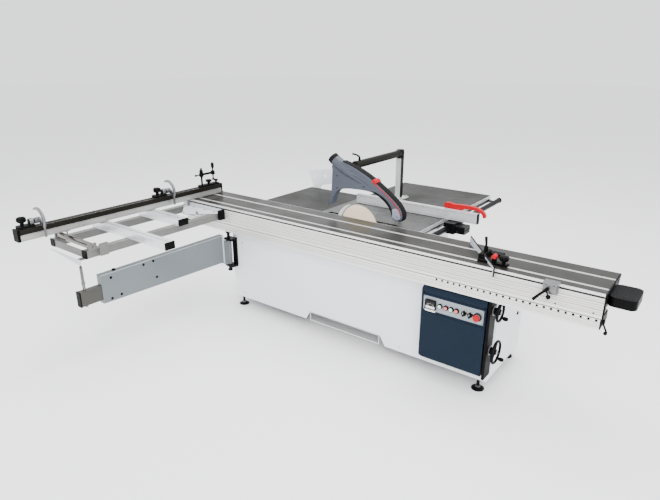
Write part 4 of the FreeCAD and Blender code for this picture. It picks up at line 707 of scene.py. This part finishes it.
def outrigger():
    caps = Shape()
    for x in (-3180, -2790):
        caps.box((x - 0.8, x + 50.8), (-1478.5, -1470.2), (-100.8, -49.6))
    caps.box((-3187.2, -3185.8), (-1167, -1095), (-50.4, -1.8))
    caps.box((-2712.2, -2708), (-791, -704), (-50.4, -1.6))
    caps.box((-2365.3, -2355.5), (-1167, -1095), (-50.4, -1.6))
    caps.piece("tube_caps", "black", "outrigger", bevel=1.6)
    bolts = Shape()
    for x, y in ((-3150, -390), (-3030, -390), (-2900, -390), (-2790, -390), (-2960, -545)):
        hexagon(bolts, at(x, y, -46), Z, 6, 4)
    for x in (-3155, -2765):
        for y in (-1131, -748):
            screw(bolts, at(x, y, -2), Z, 6, 2)
    for x in (-3160, -3060, -2940, -2860, -2770):
        hexagon(bolts, at(x, -372, -70), -Y, 6, 4)
    bolts.piece("outrigger_bolts", "zinc", "outrigger", bevel=0.3)
    star_knob("outrigger_knob", at(-2830, -620, -90), Z, 20, 34, "outrigger", 6)
    ends = Shape()
    for x, axis in ((-3131.8, X), (-2740.2, -X)):
        ends.lathe([(12, 0), (17.5, 1), (17.5, 5), (20, 9), (20, 12)], at(x, -1434, -26), axis, 36)
    ends.piece("roller_bearings", "black", "end_roller", bevel=0.6)
    grooves = Shape()
    grooves.box((-3180, -2370), (-1133, -1129), (-2.0, -1.4))
    grooves.box((-3180, -2716), (-750, -746), (-2.0, -1.4))
    grooves.piece("bar_seams", "zinc", "outrigger")


def swing_arm():
    bolts = Shape()
    for y, z in ((-1330, -275), (-1340, -420), (-1270, -414), (-1080, -262), (-1000, -258), (-985, -384)):
        hexagon(bolts, at(-2754, y, z), X, 7, 4)
        hexagon(bolts, at(-2802, y, z), -X, 7, 4)
    bolts.piece("arm_bolts", "black_steel", "swing_arm", bevel=0.3)
    stop = Shape()
    stop.lathe([(11, -1), (12.5, 1), (12.5, 8), (9, 12), (2, 13)], at(-2778, -1290, -240), Z, 32)
    stop.piece("arm_stop", "rubber", "swing_arm")
    flanges = Shape()
    flanges.box((-2753.9, -2752.4), (-1398, -346), (-243, -240.4))
    flanges.box((-2754.2, -2751.6), (-360, -346), (-470, -240.6))
    flanges.piece("arm_flanges", "plate", "swing_arm", bevel=0.5)
    star_knob("hinge_knob", at(-2748, -298, -232), Z, 21, 28, "machine_frame", 6)
    post = Shape()
    post.lathe([(10.4, 0), (10.4, 30), (9.6, 34), (9.6, 150), (12, 153), (12, 166), (9.4, 170),
                (9.3, 262), (6, 272), (3, 278)], at(-2778, -1506, -422), Z, 30)
    post.piece("support_post", "zinc", "arm_extension")


# ---------------------------------------------------------------- tables, rail and rip fence

def tables():
    seams = Shape()
    seams.box((-2034, -1221), (600.2, 601.8), (-20, -1.2))
    seams.box((-2036.8, -2035.2), (4, 583), (-20, -1.2))
    seams.piece("table_seams", "ink")
    ticks = Shape()
    for i in range(120):
        y = 20 + i * 10
        long = 14 if i % 10 == 0 else (10 if i % 5 == 0 else 7)
        ticks.box((-1213.96, -1213.8), (y, y + 1.0), (-4 - long, -4))
    ticks.piece("rail_ticks", "ink")
    nuts = Shape()
    for y in (40, 470, 900, 1225):
        hexagon(nuts, at(-1213.9, y, -45), X, 11, 7)
    nuts.piece("rail_nuts", "zinc", bevel=0.4)
    screws = Shape()
    for x in (-1940, -1685, -1430):
        screws.lathe([(0.2, 0.2), (2, 0.2), (2, 1.6), (4.4, 2.2), (4.6, 0)], at(x, 66, -2.9), Z, 24)
    for x in (-1830, -1740):
        for y in (655, 745):
            hexagon(screws, at(x, y, 15.9), Z, 7, 4)
    screws.piece("table_screw_heads", "steel")
    cap = Shape()
    cap.lathe([(21.5, 0), (23, 1.5), (23, 9.6), (20, 10.1), (4, 10.1)], at(-1160, 1284.6, -45), Y, 40)
    cap.piece("rail_cap", "black", bevel=0.5)
    star_knob("hose_bracket_knob", at(-2498, 589.5, 62), Y, 19, 28, "machine_frame", 6)


def rip_fence():
    lever = Shape()
    top = [(-1240, 100), (-1228, 112), (-1196, 114), (-1170, 108), (-1130, 111), (-1092, 112), (-1040, 112),
           (-1000, 108), (-966, 96), (-940, 78), (-931, 60), (-930, 46)]
    under = [(-946, 42), (-952, 58), (-966, 74), (-1000, 88), (-1040, 90), (-1096, 84), (-1108, 70),
             (-1222, 68), (-1237, 80)]
    outline = [tuple(p) for p in smooth_path(top, 5)] + [tuple(p) for p in smooth_path(under, 3)]
    lever.prism(outline, "XZ", (402, 430))
    lever.piece("rip_lever", "red", "rip_lock_lever", bevel=4.5, segments=4,
                replaces=["rip_lock_lever"], angle=50)
    lines = Shape()
    lines.box((-1969, -976), (364.6, 365.1), (12, 13.4))
    lines.box((-1969, -976), (364.6, 365.1), (62, 63.4))
    lines.box((-1969, -976), (372, 373.6), (74.9, 75.4))
    lines.box((-1969, -976), (386, 387.6), (74.9, 75.4))
    lines.piece("rip_fence_lines", "zinc", "rip_fence")
    cap = Shape()
    cap.prism(rounded_outline((364.4, 2.6), (395.6, 75.6), 3), "YZ", (-974.6, -967.6))
    cap.piece("rip_fence_cap", "black", "rip_fence", bevel=1.2)
    parts = Shape()
    screw(parts, at(-1140, 430, 40), Y, 8, 6)
    screw(parts, at(-1215, 430, 40), Y, 8, 6)
    screw(parts, at(-1222, 431, 88), Y, 6, 3)
    parts.piece("rip_screws", "black_steel", "rip_carriage")
    pad = Shape()
    pad.prism([(-1104, -66), (-1034, -62), (-1028, -44), (-1034, -22), (-1104, -14)], "XZ", (302, 402))
    pad.piece("carriage_nose", "black", "rip_carriage", bevel=4, segments=4)


# ---------------------------------------------------------------- guard

HOOD_TOP = [(-1938, 330), (-1941, 352), (-1916, 390), (-1868, 399), (-1812, 386), (-1750, 367),
            (-1655, 328), (-1570, 283), (-1480, 225), (-1401, 166), (-1356, 116), (-1343, 78),
            (-1350, 50), (-1372, 41)]
HOOD_MOUTH = [(-1410, 44), (-1428, 62), (-1436, 96), (-1462, 134), (-1506, 171), (-1566, 203),
              (-1640, 214), (-1720, 213), (-1804, 207), (-1870, 190), (-1904, 162), (-1926, 120),
              (-1940, 74)]


def guard_hood():
    upper = smooth_path(HOOD_TOP, 6)
    lower = smooth_path(HOOD_MOUTH, 6) + [Vector((-1973, 63)), Vector((-1960, 112)),
                                          Vector((-1941, 166))]
    low_y, high_y = -6, 50
    bm = bmesh.new()
    sides = []
    for y in (low_y, high_y):
        sides.append([bm.verts.new(at(p.x, y, p.y)) for p in upper + lower])
    near, far = sides
    count = len(near)
    bm.faces.new(near)
    bm.faces.new(list(reversed(far)))
    closed = len(upper) - 1
    for i in list(range(closed)) + [count - 1]:
        j = (i + 1) % count
        bm.faces.new((near[j], near[i], far[i], far[j]))
    bmesh.ops.recalc_face_normals(bm, faces=bm.faces)
    mesh = bpy.data.meshes.new("hood_shell")
    bm.to_mesh(mesh)
    bm.free()
    mesh.polygons.foreach_set("use_smooth", [True] * len(mesh.polygons))
    mesh.materials.append(M["hood"])
    shell = bpy.data.objects.new("hood_shell", mesh)
    bpy.context.scene.collection.objects.link(shell)
    rounding = shell.modifiers.new("bevel", "BEVEL")
    rounding.width, rounding.segments = 0.009, 5
    rounding.limit_method, rounding.angle_limit = "ANGLE", math.radians(60)
    thick = shell.modifiers.new("solidify", "SOLIDIFY")
    thick.thickness, thick.offset = 0.003, -1
    shell.modifiers.new("normals", "WEIGHTED_NORMAL")
    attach(shell, "guard_hood")
    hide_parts("guard_hood")

    fairing = Shape()
    lean = Vector((-0.765, 0, 0.644)).normalized()
    mouth = at(-1876, 22, 352) + lean * 0.096
    stations = [(0.0, 38.4, 38.4), (0.030, 38.4, 38.4), (0.034, 41, 41), (0.085, 43, 41), (0.12, 44, 40),
                (0.17, 41, 37.5), (0.22, 36, 35), (0.27, 29, 32.5), (0.31, 21, 30.2), (0.335, 12, 28.6)]
    rings, across = [], Vector((0, 1, 0))
    heading = -lean
    place_now, last = mouth.copy(), 0.0
    for distance, tall, wide in stations:
        turn = min(1.0, distance / 0.2)
        heading = (-lean * (1 - turn) + Vector((0.90, 0, -0.43)) * turn).normalized()
        place_now = place_now + heading * (distance - last)
        last = distance
        rise = heading.cross(across).normalized()
        rings.append([place_now + (across * math.cos(a) * wide + rise * math.sin(a) * tall) * 0.001
                      for a in (2 * math.pi * k / 48 for k in range(48))])
    inner = []
    for depth in (0.0, 0.09):
        rise = lean.cross(across).normalized()
        inner.append([mouth - lean * depth + (across * math.cos(a) + rise * math.sin(a)) * 0.037
                      for a in (2 * math.pi * k / 48 for k in range(48))])
    fairing.skin([inner[1], inner[0]] + rings, capped=True)
    fairing.piece("hood_fairing", "hood", "guard_hood", subdivide=1, angle=50)
    dark = Shape()
    dark.skin([[mouth - lean * depth + (across * math.cos(a) + lean.cross(across) * math.sin(a)) * 0.0364
                for a in (2 * math.pi * k / 40 for k in range(40))] for depth in (0.002, 0.088)],
              capped=False)
    dark.piece("hood_duct_lining", "rubber", "guard_hood")
    collar = Shape()
    collar.lathe([(37.2, 2), (37.2, -0.2), (38.6, -0.6), (39.6, 0.6), (39.9, 4), (39.9, 22),
                  (40.6, 25), (40.6, 31), (38, 33)], mouth, -lean, 60)
    collar.piece("hood_duct_collar", "rubber", "guard_hood")

    back = smooth_path([(-1842, 396), (-1812, 388), (-1750, 369), (-1655, 330), (-1570, 285), (-1480, 227),
                        (-1401, 168), (-1357, 117), (-1345, 78), (-1352, 51), (-1370, 42)], 6)
    band = Shape()
    rings = []
    for i, p in enumerate(back):
        ahead, behind = back[min(i + 1, len(back) - 1)], back[max(i - 1, 0)]
        run = (ahead - behind).normalized()
        out = Vector((-run.y, run.x))
        rings.append([at(p.x + out.x * h, y, p.y + out.y * h)
                      for y, h in ((-4, -2), (-4, 2), (3, 4.6), (41, 4.6), (48, 2), (48, -2))])
    band.skin(rings)
    band.piece("hood_rubber_strip", "rubber", "guard_hood")

    window = Shape()
    edge = smooth_path([(-1426, 62), (-1434, 96), (-1424, 116), (-1396, 126), (-1370, 108),
                        (-1360, 80), (-1366, 58), (-1392, 48), (-1426, 62)], 5)[:-1]
    window.prism([tuple(p) for p in edge], "XZ", (-7.4, 51.4))
    window.piece("hood_nose_window", "lens", "guard_hood", bevel=2.0, segments=3)
    line = Shape()
    path = smooth_path([(-1578, 274), (-1540, 252), (-1480, 213), (-1412, 160), (-1374, 114), (-1362, 84)], 6)
    line.pipe([at(p.x, -6.6, p.y) for p in path], 2.6, 12)
    line.pipe([at(p.x, 50.6, p.y) for p in path], 2.6, 12)
    line.piece("hood_red_line", "red", "guard_hood")
    clip = Shape()
    clip.prism([(-1592, 290), (-1584, 304), (-1566, 298), (-1556, 282), (-1562, 268), (-1584, 272)],
               "XZ", (-10, 54))
    clip.piece("hood_clip", "red", "guard_hood", bevel=3, segments=4)

    lining = Shape()
    arc = smooth_path([(-1600, 211), (-1566, 203), (-1506, 171), (-1462, 134), (-1438, 98), (-1430, 66)], 6)
    outer = []
    for i, p in enumerate(arc):
        ahead, behind = arc[min(i + 1, len(arc) - 1)], arc[max(i - 1, 0)]
        run = (ahead - behind).normalized()
        swell = 3 + 17 * math.sin(math.pi * i / (len(arc) - 1))
        outer.append(p + Vector((-run.y, run.x)) * swell)
    lining.skin([[at(p.x, -7.6, p.y), at(q.x, -7.6, q.y), at(q.x, 51.6, q.y), at(p.x, 51.6, p.y)]
                 for p, q in zip(arc, outer)])
    lining.piece("hood_mouth_lining", "rubber", "guard_hood")

    ridge = Shape()
    for y, side in ((-6, -1), (50, 1)):
        spine = smooth_path([(-1800, 330), (-1720, 306), (-1640, 274), (-1590, 246)], 6)
        ridge.pipe([at(p.x, y, p.y) for p in spine],
                   [1.0 + 5.5 * math.sin(math.pi * (0.15 + 0.8 * i / (len(spine) - 1)))
                    for i in range(len(spine))], 20)
        ridge.lathe([(20, -2), (20, 1.2), (17, 2.4), (4, 2.6)], at(-1785, y, 366 - 26), Y * side, 40)
    ridge.piece("hood_ridges", "hood", "guard_hood")

    bolts = Shape()
    for x, z in ((-1890, 200), (-1890, 290), (-1660, 240), (-1480, 172), (-1385, 70)):
        screw(bolts, at(x, -6, z), -Y, 4.5, 2.4)
        screw(bolts, at(x, 50, z), Y, 4.5, 2.4)
    bolts.piece("hood_screws", "black_steel", "guard_hood")


def overarm():
    lever = Shape()
    lever.pipe([at(-1785, 120, 394), at(-1785, 120, 412), at(-1788, 119, 420), at(-1806, 114, 430),
                at(-1838, 106, 436.5)], [10, 8, 7, 6, 6.5], 18)
    lever.piece("overarm_grip", "black", "overarm_lever", bevel=1.0, replaces=["overarm_lever"])
    rings = Shape()
    rings.lathe([(28, 0), (29.2, 1.5), (29.2, 16), (28, 18)], at(-1785, 60, 366), Y, 44)
    rings.lathe([(27.6, 0), (28.4, 1), (28.4, 6), (27.6, 7)], at(-1785, 640, 366), Y, 44)
    rings.lathe([(32, 0), (33.2, 1.5), (33.2, 8), (32, 10)], at(-1785, 700, 329), Z, 44)
    rings.lathe([(31, 0), (31.4, 2), (30, 5), (22, 7), (2, 7.6)], at(-1785, 700, 389.4), Z, 44)
    rings.piece("overarm_collars", "dark", "overarm", bevel=0.5)


# ---------------------------------------------------------------- control box

def control_box():
    body = Shape()
    plan = [(-1005, -262.5), (-1005, -322), (-1003, -334), (-996, -343), (-985, -348.5), (-970, -350),
            (-592, -350), (-578, -347), (-578, -262.5)]
    rings = []
    for z, shrink in ((-692, 6), (-684, 0), (-232, 0), (-214, 7), (-209, 12)):
        rings.append([at(min(x + shrink, -586) if x > -700 else x + shrink,
                         min(y + shrink * 0.8, -262.5), z) for x, y in plan])
    body.skin(rings)
    body.piece("control_body", "blue", bevel=3.5, segments=4, replaces=["control_box"], angle=30)
    front = Shape()
    front.prism(rounded_outline((-990, -682), (-586, -372), 10), "XZ", (-352.4, -349.5))
    front.piece("control_lower_panel", "blue", bevel=1.4)
    bezel = Shape()
    bezel.loop(rounded_outline((-990, -366), (-586, -254), 8), "XZ", -349.5, -354.2, 10)
    bezel.piece("control_bezel", "blue", bevel=1.2)
    strip = Shape()
    strip.prism([(-577.5, -262.5), (-577.5, -352), (-572, -357.5), (-564, -357.5),
                 (-560.2, -352), (-560.2, -262.5)], "XY", (-702, -202))
    strip.piece("control_side_strip", "black", bevel=1.5)
    groove = Shape()
    for z in (-270, -525):
        groove.lathe([(30, 0), (30, 2), (26, 4.5), (12.5, 5.5)], at(-560.2, -300, z), X, 44)
    groove.piece("wheel_collars", "zinc", bevel=0.4)
    screws = Shape()
    for x, z in ((-980, -246), (-594, -246), (-980, -676), (-594, -676)):
        screw(screws, at(x, -350, z), -Y, 4.5, 3.2)
    for x, z in ((-972, -270), (-972, -350), (-604, -270), (-604, -350)):
        screw(screws, at(x, PANEL_Y, z), -Y, 2.6, 1.5)
    screws.piece("control_screws", "black_steel")


def instruments():
    face = Shape()
    face.prism(rounded_outline((-958, -340), (-898, -288), 3), "XZ", (-362.4, -361.6))
    face.box((-962, -896), (-361.8, -353.2), (-358.5, -346.5))
    face.piece("meter_face", "dial")
    hood = Shape()
    hood.box((-957.5, -898.5), (-362.9, -362.4), (-324, -288.5))
    hood.piece("meter_upper_card", "ink")
    marks = Shape()
    for i in range(21):
        angle = math.radians(150 - 6 * i)
        inner, outer = (26 if i % 5 else 23), 30
        direction = Vector((math.cos(angle), 0, math.sin(angle)))
        side = Vector((-direction.z, 0, direction.x))
        base = at(-928, -363.1, -334)
        ring = [base + (direction * r + side * s) * 0.001 for r, s in
                ((inner, -0.35), (outer, -0.35), (outer, 0.35), (inner, 0.35))]
        marks.skin([ring, [p - Y * 0.0002 for p in ring]])
    needle = Vector((math.cos(math.radians(132)), 0, math.sin(math.radians(132))))
    across = Vector((-needle.z, 0, needle.x))
    base = at(-928, -363.3, -334)
    ring = [base + (needle * r + across * s) * 0.001 for r, s in ((-3, -1), (27, -0.3), (27, 0.3), (-3, 1))]
    marks.skin([ring, [p - Y * 0.0003 for p in ring]])
    marks.rod(3, 0.6, at(-928, -362.5, -334), -Y, 20)
    marks.piece("meter_marks", "alu")
    frame_ = Shape()
    frame_.loop(rounded_outline((-963, -345), (-893, -283), 5), "XZ", -361.5, -365.6, 5)
    frame_.piece("meter_frame", "black", bevel=0.8)

    for i, (x, look) in enumerate(((-868, "green_lens"), (-830, "red_lens"), (-796, "green_lens"),
                                   (-762, "red_lens")), start=1):
        body = "push_button_%d" % i
        lens = Shape()
        lens.lathe([(10.9, 0), (10.9, 7.2), (10.2, 8.6), (8.4, 9.2), (4, 9.5), (0.4, 9.6)],
                   at(x, -357.5, PANEL_Z), -Y, 40)
        lens.piece("button_lens_%d" % i, look, body,
                   replaces=[body])
        collar = Shape()
        collar.lathe([(11.4, 0), (16.6, 0), (16.6, 1.2), (15.2, 3.0), (15.2, 8.6), (14.2, 9.8),
                      (11.4, 9.8)], at(x, PANEL_Y, PANEL_Z), -Y, 44)
        collar.piece("button_collar_%d" % i, "black")
    for i, x in ((1, -715), (2, -677)):
        body = "selector_%d" % i
        knob = Shape()
        knob.lathe([(14.2, 0), (14.4, 2), (14.0, 12), (12.4, 14.2), (3, 14.6)],
                   at(x, PANEL_Y - 0.4, PANEL_Z), -Y, 44)
        knob.prism([(x - 4.6, -325), (x + 4.6, -325), (x + 3.4, -298), (x - 3.4, -298)], "XZ", (-376.4, -366))
        knob.piece("selector_knob_%d" % i, "black", body, bevel=1.1, replaces=[body])
        mark = Shape()
        mark.box((x - 0.9, x + 0.9), (-376.8, -376.3), (-309, -300))
        mark.piece("selector_mark_%d" % i, "dial", body)
        collar = Shape()
        collar.lathe([(15.2, 0), (18, 0), (18, 1.4), (16.4, 2.6), (15.2, 2.6)],
                     at(x, PANEL_Y, PANEL_Z), -Y, 44)
        collar.piece("selector_collar_%d" % i, "chrome")
    stop = Shape()
    stop.lathe([(8.6, 0), (8.6, 7), (14, 7.6), (18.6, 10), (20, 14), (20, 20), (18.4, 24), (13.6, 26.6),
                (6, 27.6), (0.4, 27.9)], at(-633, -359.6, PANEL_Z), -Y, 56)
    stop.piece("emergency_button", "red", "emergency_stop", replaces=["emergency_stop"])
    ridge = Shape()
    ridge.lathe([(24.6, 0), (25.2, 1), (25.2, 5.6), (23.6, 7.4), (18, 7.4), (16, 6.0),
                 (9.2, 5.8), (9.2, 0.2)], at(-633, PANEL_Y, PANEL_Z), -Y, 56)
    ridge.piece("emergency_collar", "ink")


def handwheels():
    for body, z, radius in (("lift_handwheel", -270, 52), ("tilt_handwheel", -525, 66)):
        wheel = Shape()
        centre = at(-524, -300, z)
        rings = []
        for i in range(72):
            angle = 2 * math.pi * i / 72
            out = Vector((0, math.cos(angle), math.sin(angle)))
            swell = 8.0 - 0.7 * (1 + math.cos(24 * angle)) / 2
            rings.append([centre + (out * (radius + swell * math.cos(a)) + X * swell * math.sin(a)) * 0.001
                          for a in (2 * math.pi * k / 16 for k in range(16))])
        wheel.skin(rings, closed=True)
        for i in range(3):
            angle = math.radians(90 + 120 * i)
            out = Vector((0, math.cos(angle), math.sin(angle)))
            wheel.pipe([centre + (X * dx + out * r) * 0.001 for dx, r in
                        ((-10, 10), (-6, radius * 0.4), (-2, radius * 0.75), (0, radius - 2))],
                       [9, 7.5, 6.2, 6.8], 18)
        wheel.lathe([(10, -36), (21, -34), (22, -28), (19, -6), (17, 2), (12, 5), (1, 6)], centre, X, 44)
        crank = centre + Vector((0, 0.5, -0.866)) * radius * 0.001
        wheel.lathe([(6, -2), (6, 9), (9, 10), (12.2, 17), (12.2, 30), (9, 38.5), (3, 40)], crank, X, 32)
        wheel.piece(body + "_rim", "black", body, replaces=[body])
        hub = Shape()
        hub.lathe([(12, 0), (12, 1.4), (9, 2.4), (1, 2.6)], at(-519, -300, z), X, 36)
        hub.piece(body + "_cap", "chrome", body)


# ---------------------------------------------------------------- cabinet

def cabinet():
    doors = Shape()
    doors.prism(rounded_outline((-2420, -740), (-1960, -470), 14), "XZ", (560.2, 563.2))
    doors.prism(rounded_outline((-1300 - 40, -740), (-1300 - 260, -470), 14), "XZ", (560.2, 563.2))
    doors.prism(rounded_outline((-200, -720), (210, -260), 14), "YZ", (-2738, -2735.2))
    doors.prism(rounded_outline((-200, -730), (230, -250), 14), "YZ", (-574.8, -572))
    doors.piece("service_doors", "white", bevel=1.2)
    locks = Shape()
    for place, axis in ((at(-2390, 563, -600), Y), (at(-1372, 563, -600), Y), (at(-2738, -170, -480), -X),
                        (at(-572, 190, -480), X)):
        locks.lathe([(14, 0), (14, 2), (10, 3.6), (10, 6), (3, 6.4)], place, axis, 30)
    locks.piece("door_locks", "black", bevel=0.4)
    hinges = Shape()
    for x, z in ((-1963, -520), (-1963, -690), (-1557, -520), (-1557, -690)):
        hinges.rod(5, 40, at(x, 564, z), Z, 20)
    for y, z in ((206, -320), (206, -660)):
        hinges.rod(5, 40, at(-2738, y, z), Z, 20)
        hinges.rod(5, 40, at(-572, -196, z), Z, 20)
    hinges.piece("door_hinges", "zinc", bevel=0.8)
    nuts = Shape()
    for x, y in ((-2677, -231.5), (-633, -231.5), (-2677, 259), (-633, 259), (-2502, 529), (-1318, 529)):
        nuts.lathe([(17, 0), (18.5, 1.5), (18.5, 11), (17, 12.4)], at(x, y, -782.4), Z, 6)
        nuts.lathe([(17, 0), (18.5, 1.5), (18.5, 9), (17, 10)], at(x, y, -835.6), Z, 6)
    nuts.piece("foot_nuts", "zinc", bevel=0.4)
    trim = Shape()
    trim.loop(rounded_outline((-1943, -768), (-1337, -699), 2), "XZ", -264.4, -262.1, 4)
    trim.piece("notch_trim", "white", bevel=0.6)
    clips = Shape()
    screw(clips, at(-2628, -262, -300), -Y, 5, 2)
    for x in (-2640, -2480, -1180, -620):
        screw(clips, at(x, -262, -736), -Y, 4, 1.8)
    clips.piece("cabinet_screws", "zinc")


def blade():
    tips = Shape()
    centre = at(*BLADE_CENTRE)
    for i in range(60):
        angle = -2 * math.pi * (i + 0.93) / 60
        out = Vector((math.cos(angle), 0, math.sin(angle)))
        along = Vector((-out.z, 0, out.x))
        ring = [centre + (out * r + along * s) * 0.001
                for r, s in ((150.6, -1.4), (157.2, -1.4), (157.4, 1.2), (150.6, 1.2))]
        tips.skin([[p - Y * 0.0019 for p in ring], [p + Y * 0.0019 for p in ring]])
    tips.piece("blade_tips", "steel", "main_spindle")


# ---------------------------------------------------------------- stage, light, camera

def floor_and_light():
    """A plain pale floor under a soft studio."""
    bm = bmesh.new()
    bmesh.ops.create_grid(bm, x_segments=1, y_segments=1, size=40)
    mesh = bpy.data.meshes.new("floor")
    bm.to_mesh(mesh)
    bm.free()
    floor = bpy.data.objects.new("floor", mesh)
    floor.location.z = cad_low.z - 0.0005
    bpy.context.scene.collection.objects.link(floor)
    ground = bpy.data.materials.new("floor_paint")
    ground.use_nodes = True
    shader = ground.node_tree.nodes["Principled BSDF"]
    shader.inputs["Base Color"].default_value = (0.96, 0.96, 0.96, 1)
    shader.inputs["Roughness"].default_value = 0.85
    mesh.materials.append(ground)

    world = bpy.data.worlds.new("studio")
    world.use_nodes = True
    background = world.node_tree.nodes["Background"]
    background.inputs["Color"].default_value = (0.97, 0.98, 1.0, 1)
    background.inputs["Strength"].default_value = 1.75
    bpy.context.scene.world = world

    for name, place, size, power in (("key", (3.6, -4.2, 4.6), 3.2, 370),
                                     ("fill", (-4.5, -4.0, 3.2), 4.0, 110),
                                     ("top", (-0.2, 0.8, 5.2), 4.5, 290)):
        data = bpy.data.lights.new(name, "AREA")
        data.shape, data.size, data.energy = "SQUARE", size, power
        light = bpy.data.objects.new(name, data)
        light.location = place
        light.rotation_euler = (Vector((0, 0, 0.6)) - Vector(place)).to_track_quat("-Z", "Y").to_euler()
        bpy.context.scene.collection.objects.link(light)


def camera():
    data = bpy.data.cameras.new("camera")
    data.sensor_width = 36.0
    data.lens = 29.59
    data.clip_end = 100
    item = bpy.data.objects.new("camera", data)
    azimuth, pitch = math.radians(37.11), math.radians(19.70)
    ahead = Vector((-math.sin(azimuth) * math.cos(pitch), math.cos(azimuth) * math.cos(pitch),
                    -math.sin(pitch)))
    item.location = DATUM + Vector((0.377, -3.086, 1.095))
    item.rotation_euler = ahead.to_track_quat("-Z", "Y").to_euler()
    bpy.context.scene.collection.objects.link(item)
    bpy.context.scene.camera = item


sliding_table()
edging_plate()
edge_clamp()
crosscut_fence()
outrigger()
swing_arm()
tables()
rip_fence()
guard_hood()
overarm()
control_box()
instruments()
handwheels()
cabinet()
blade()
floor_and_light()
camera()
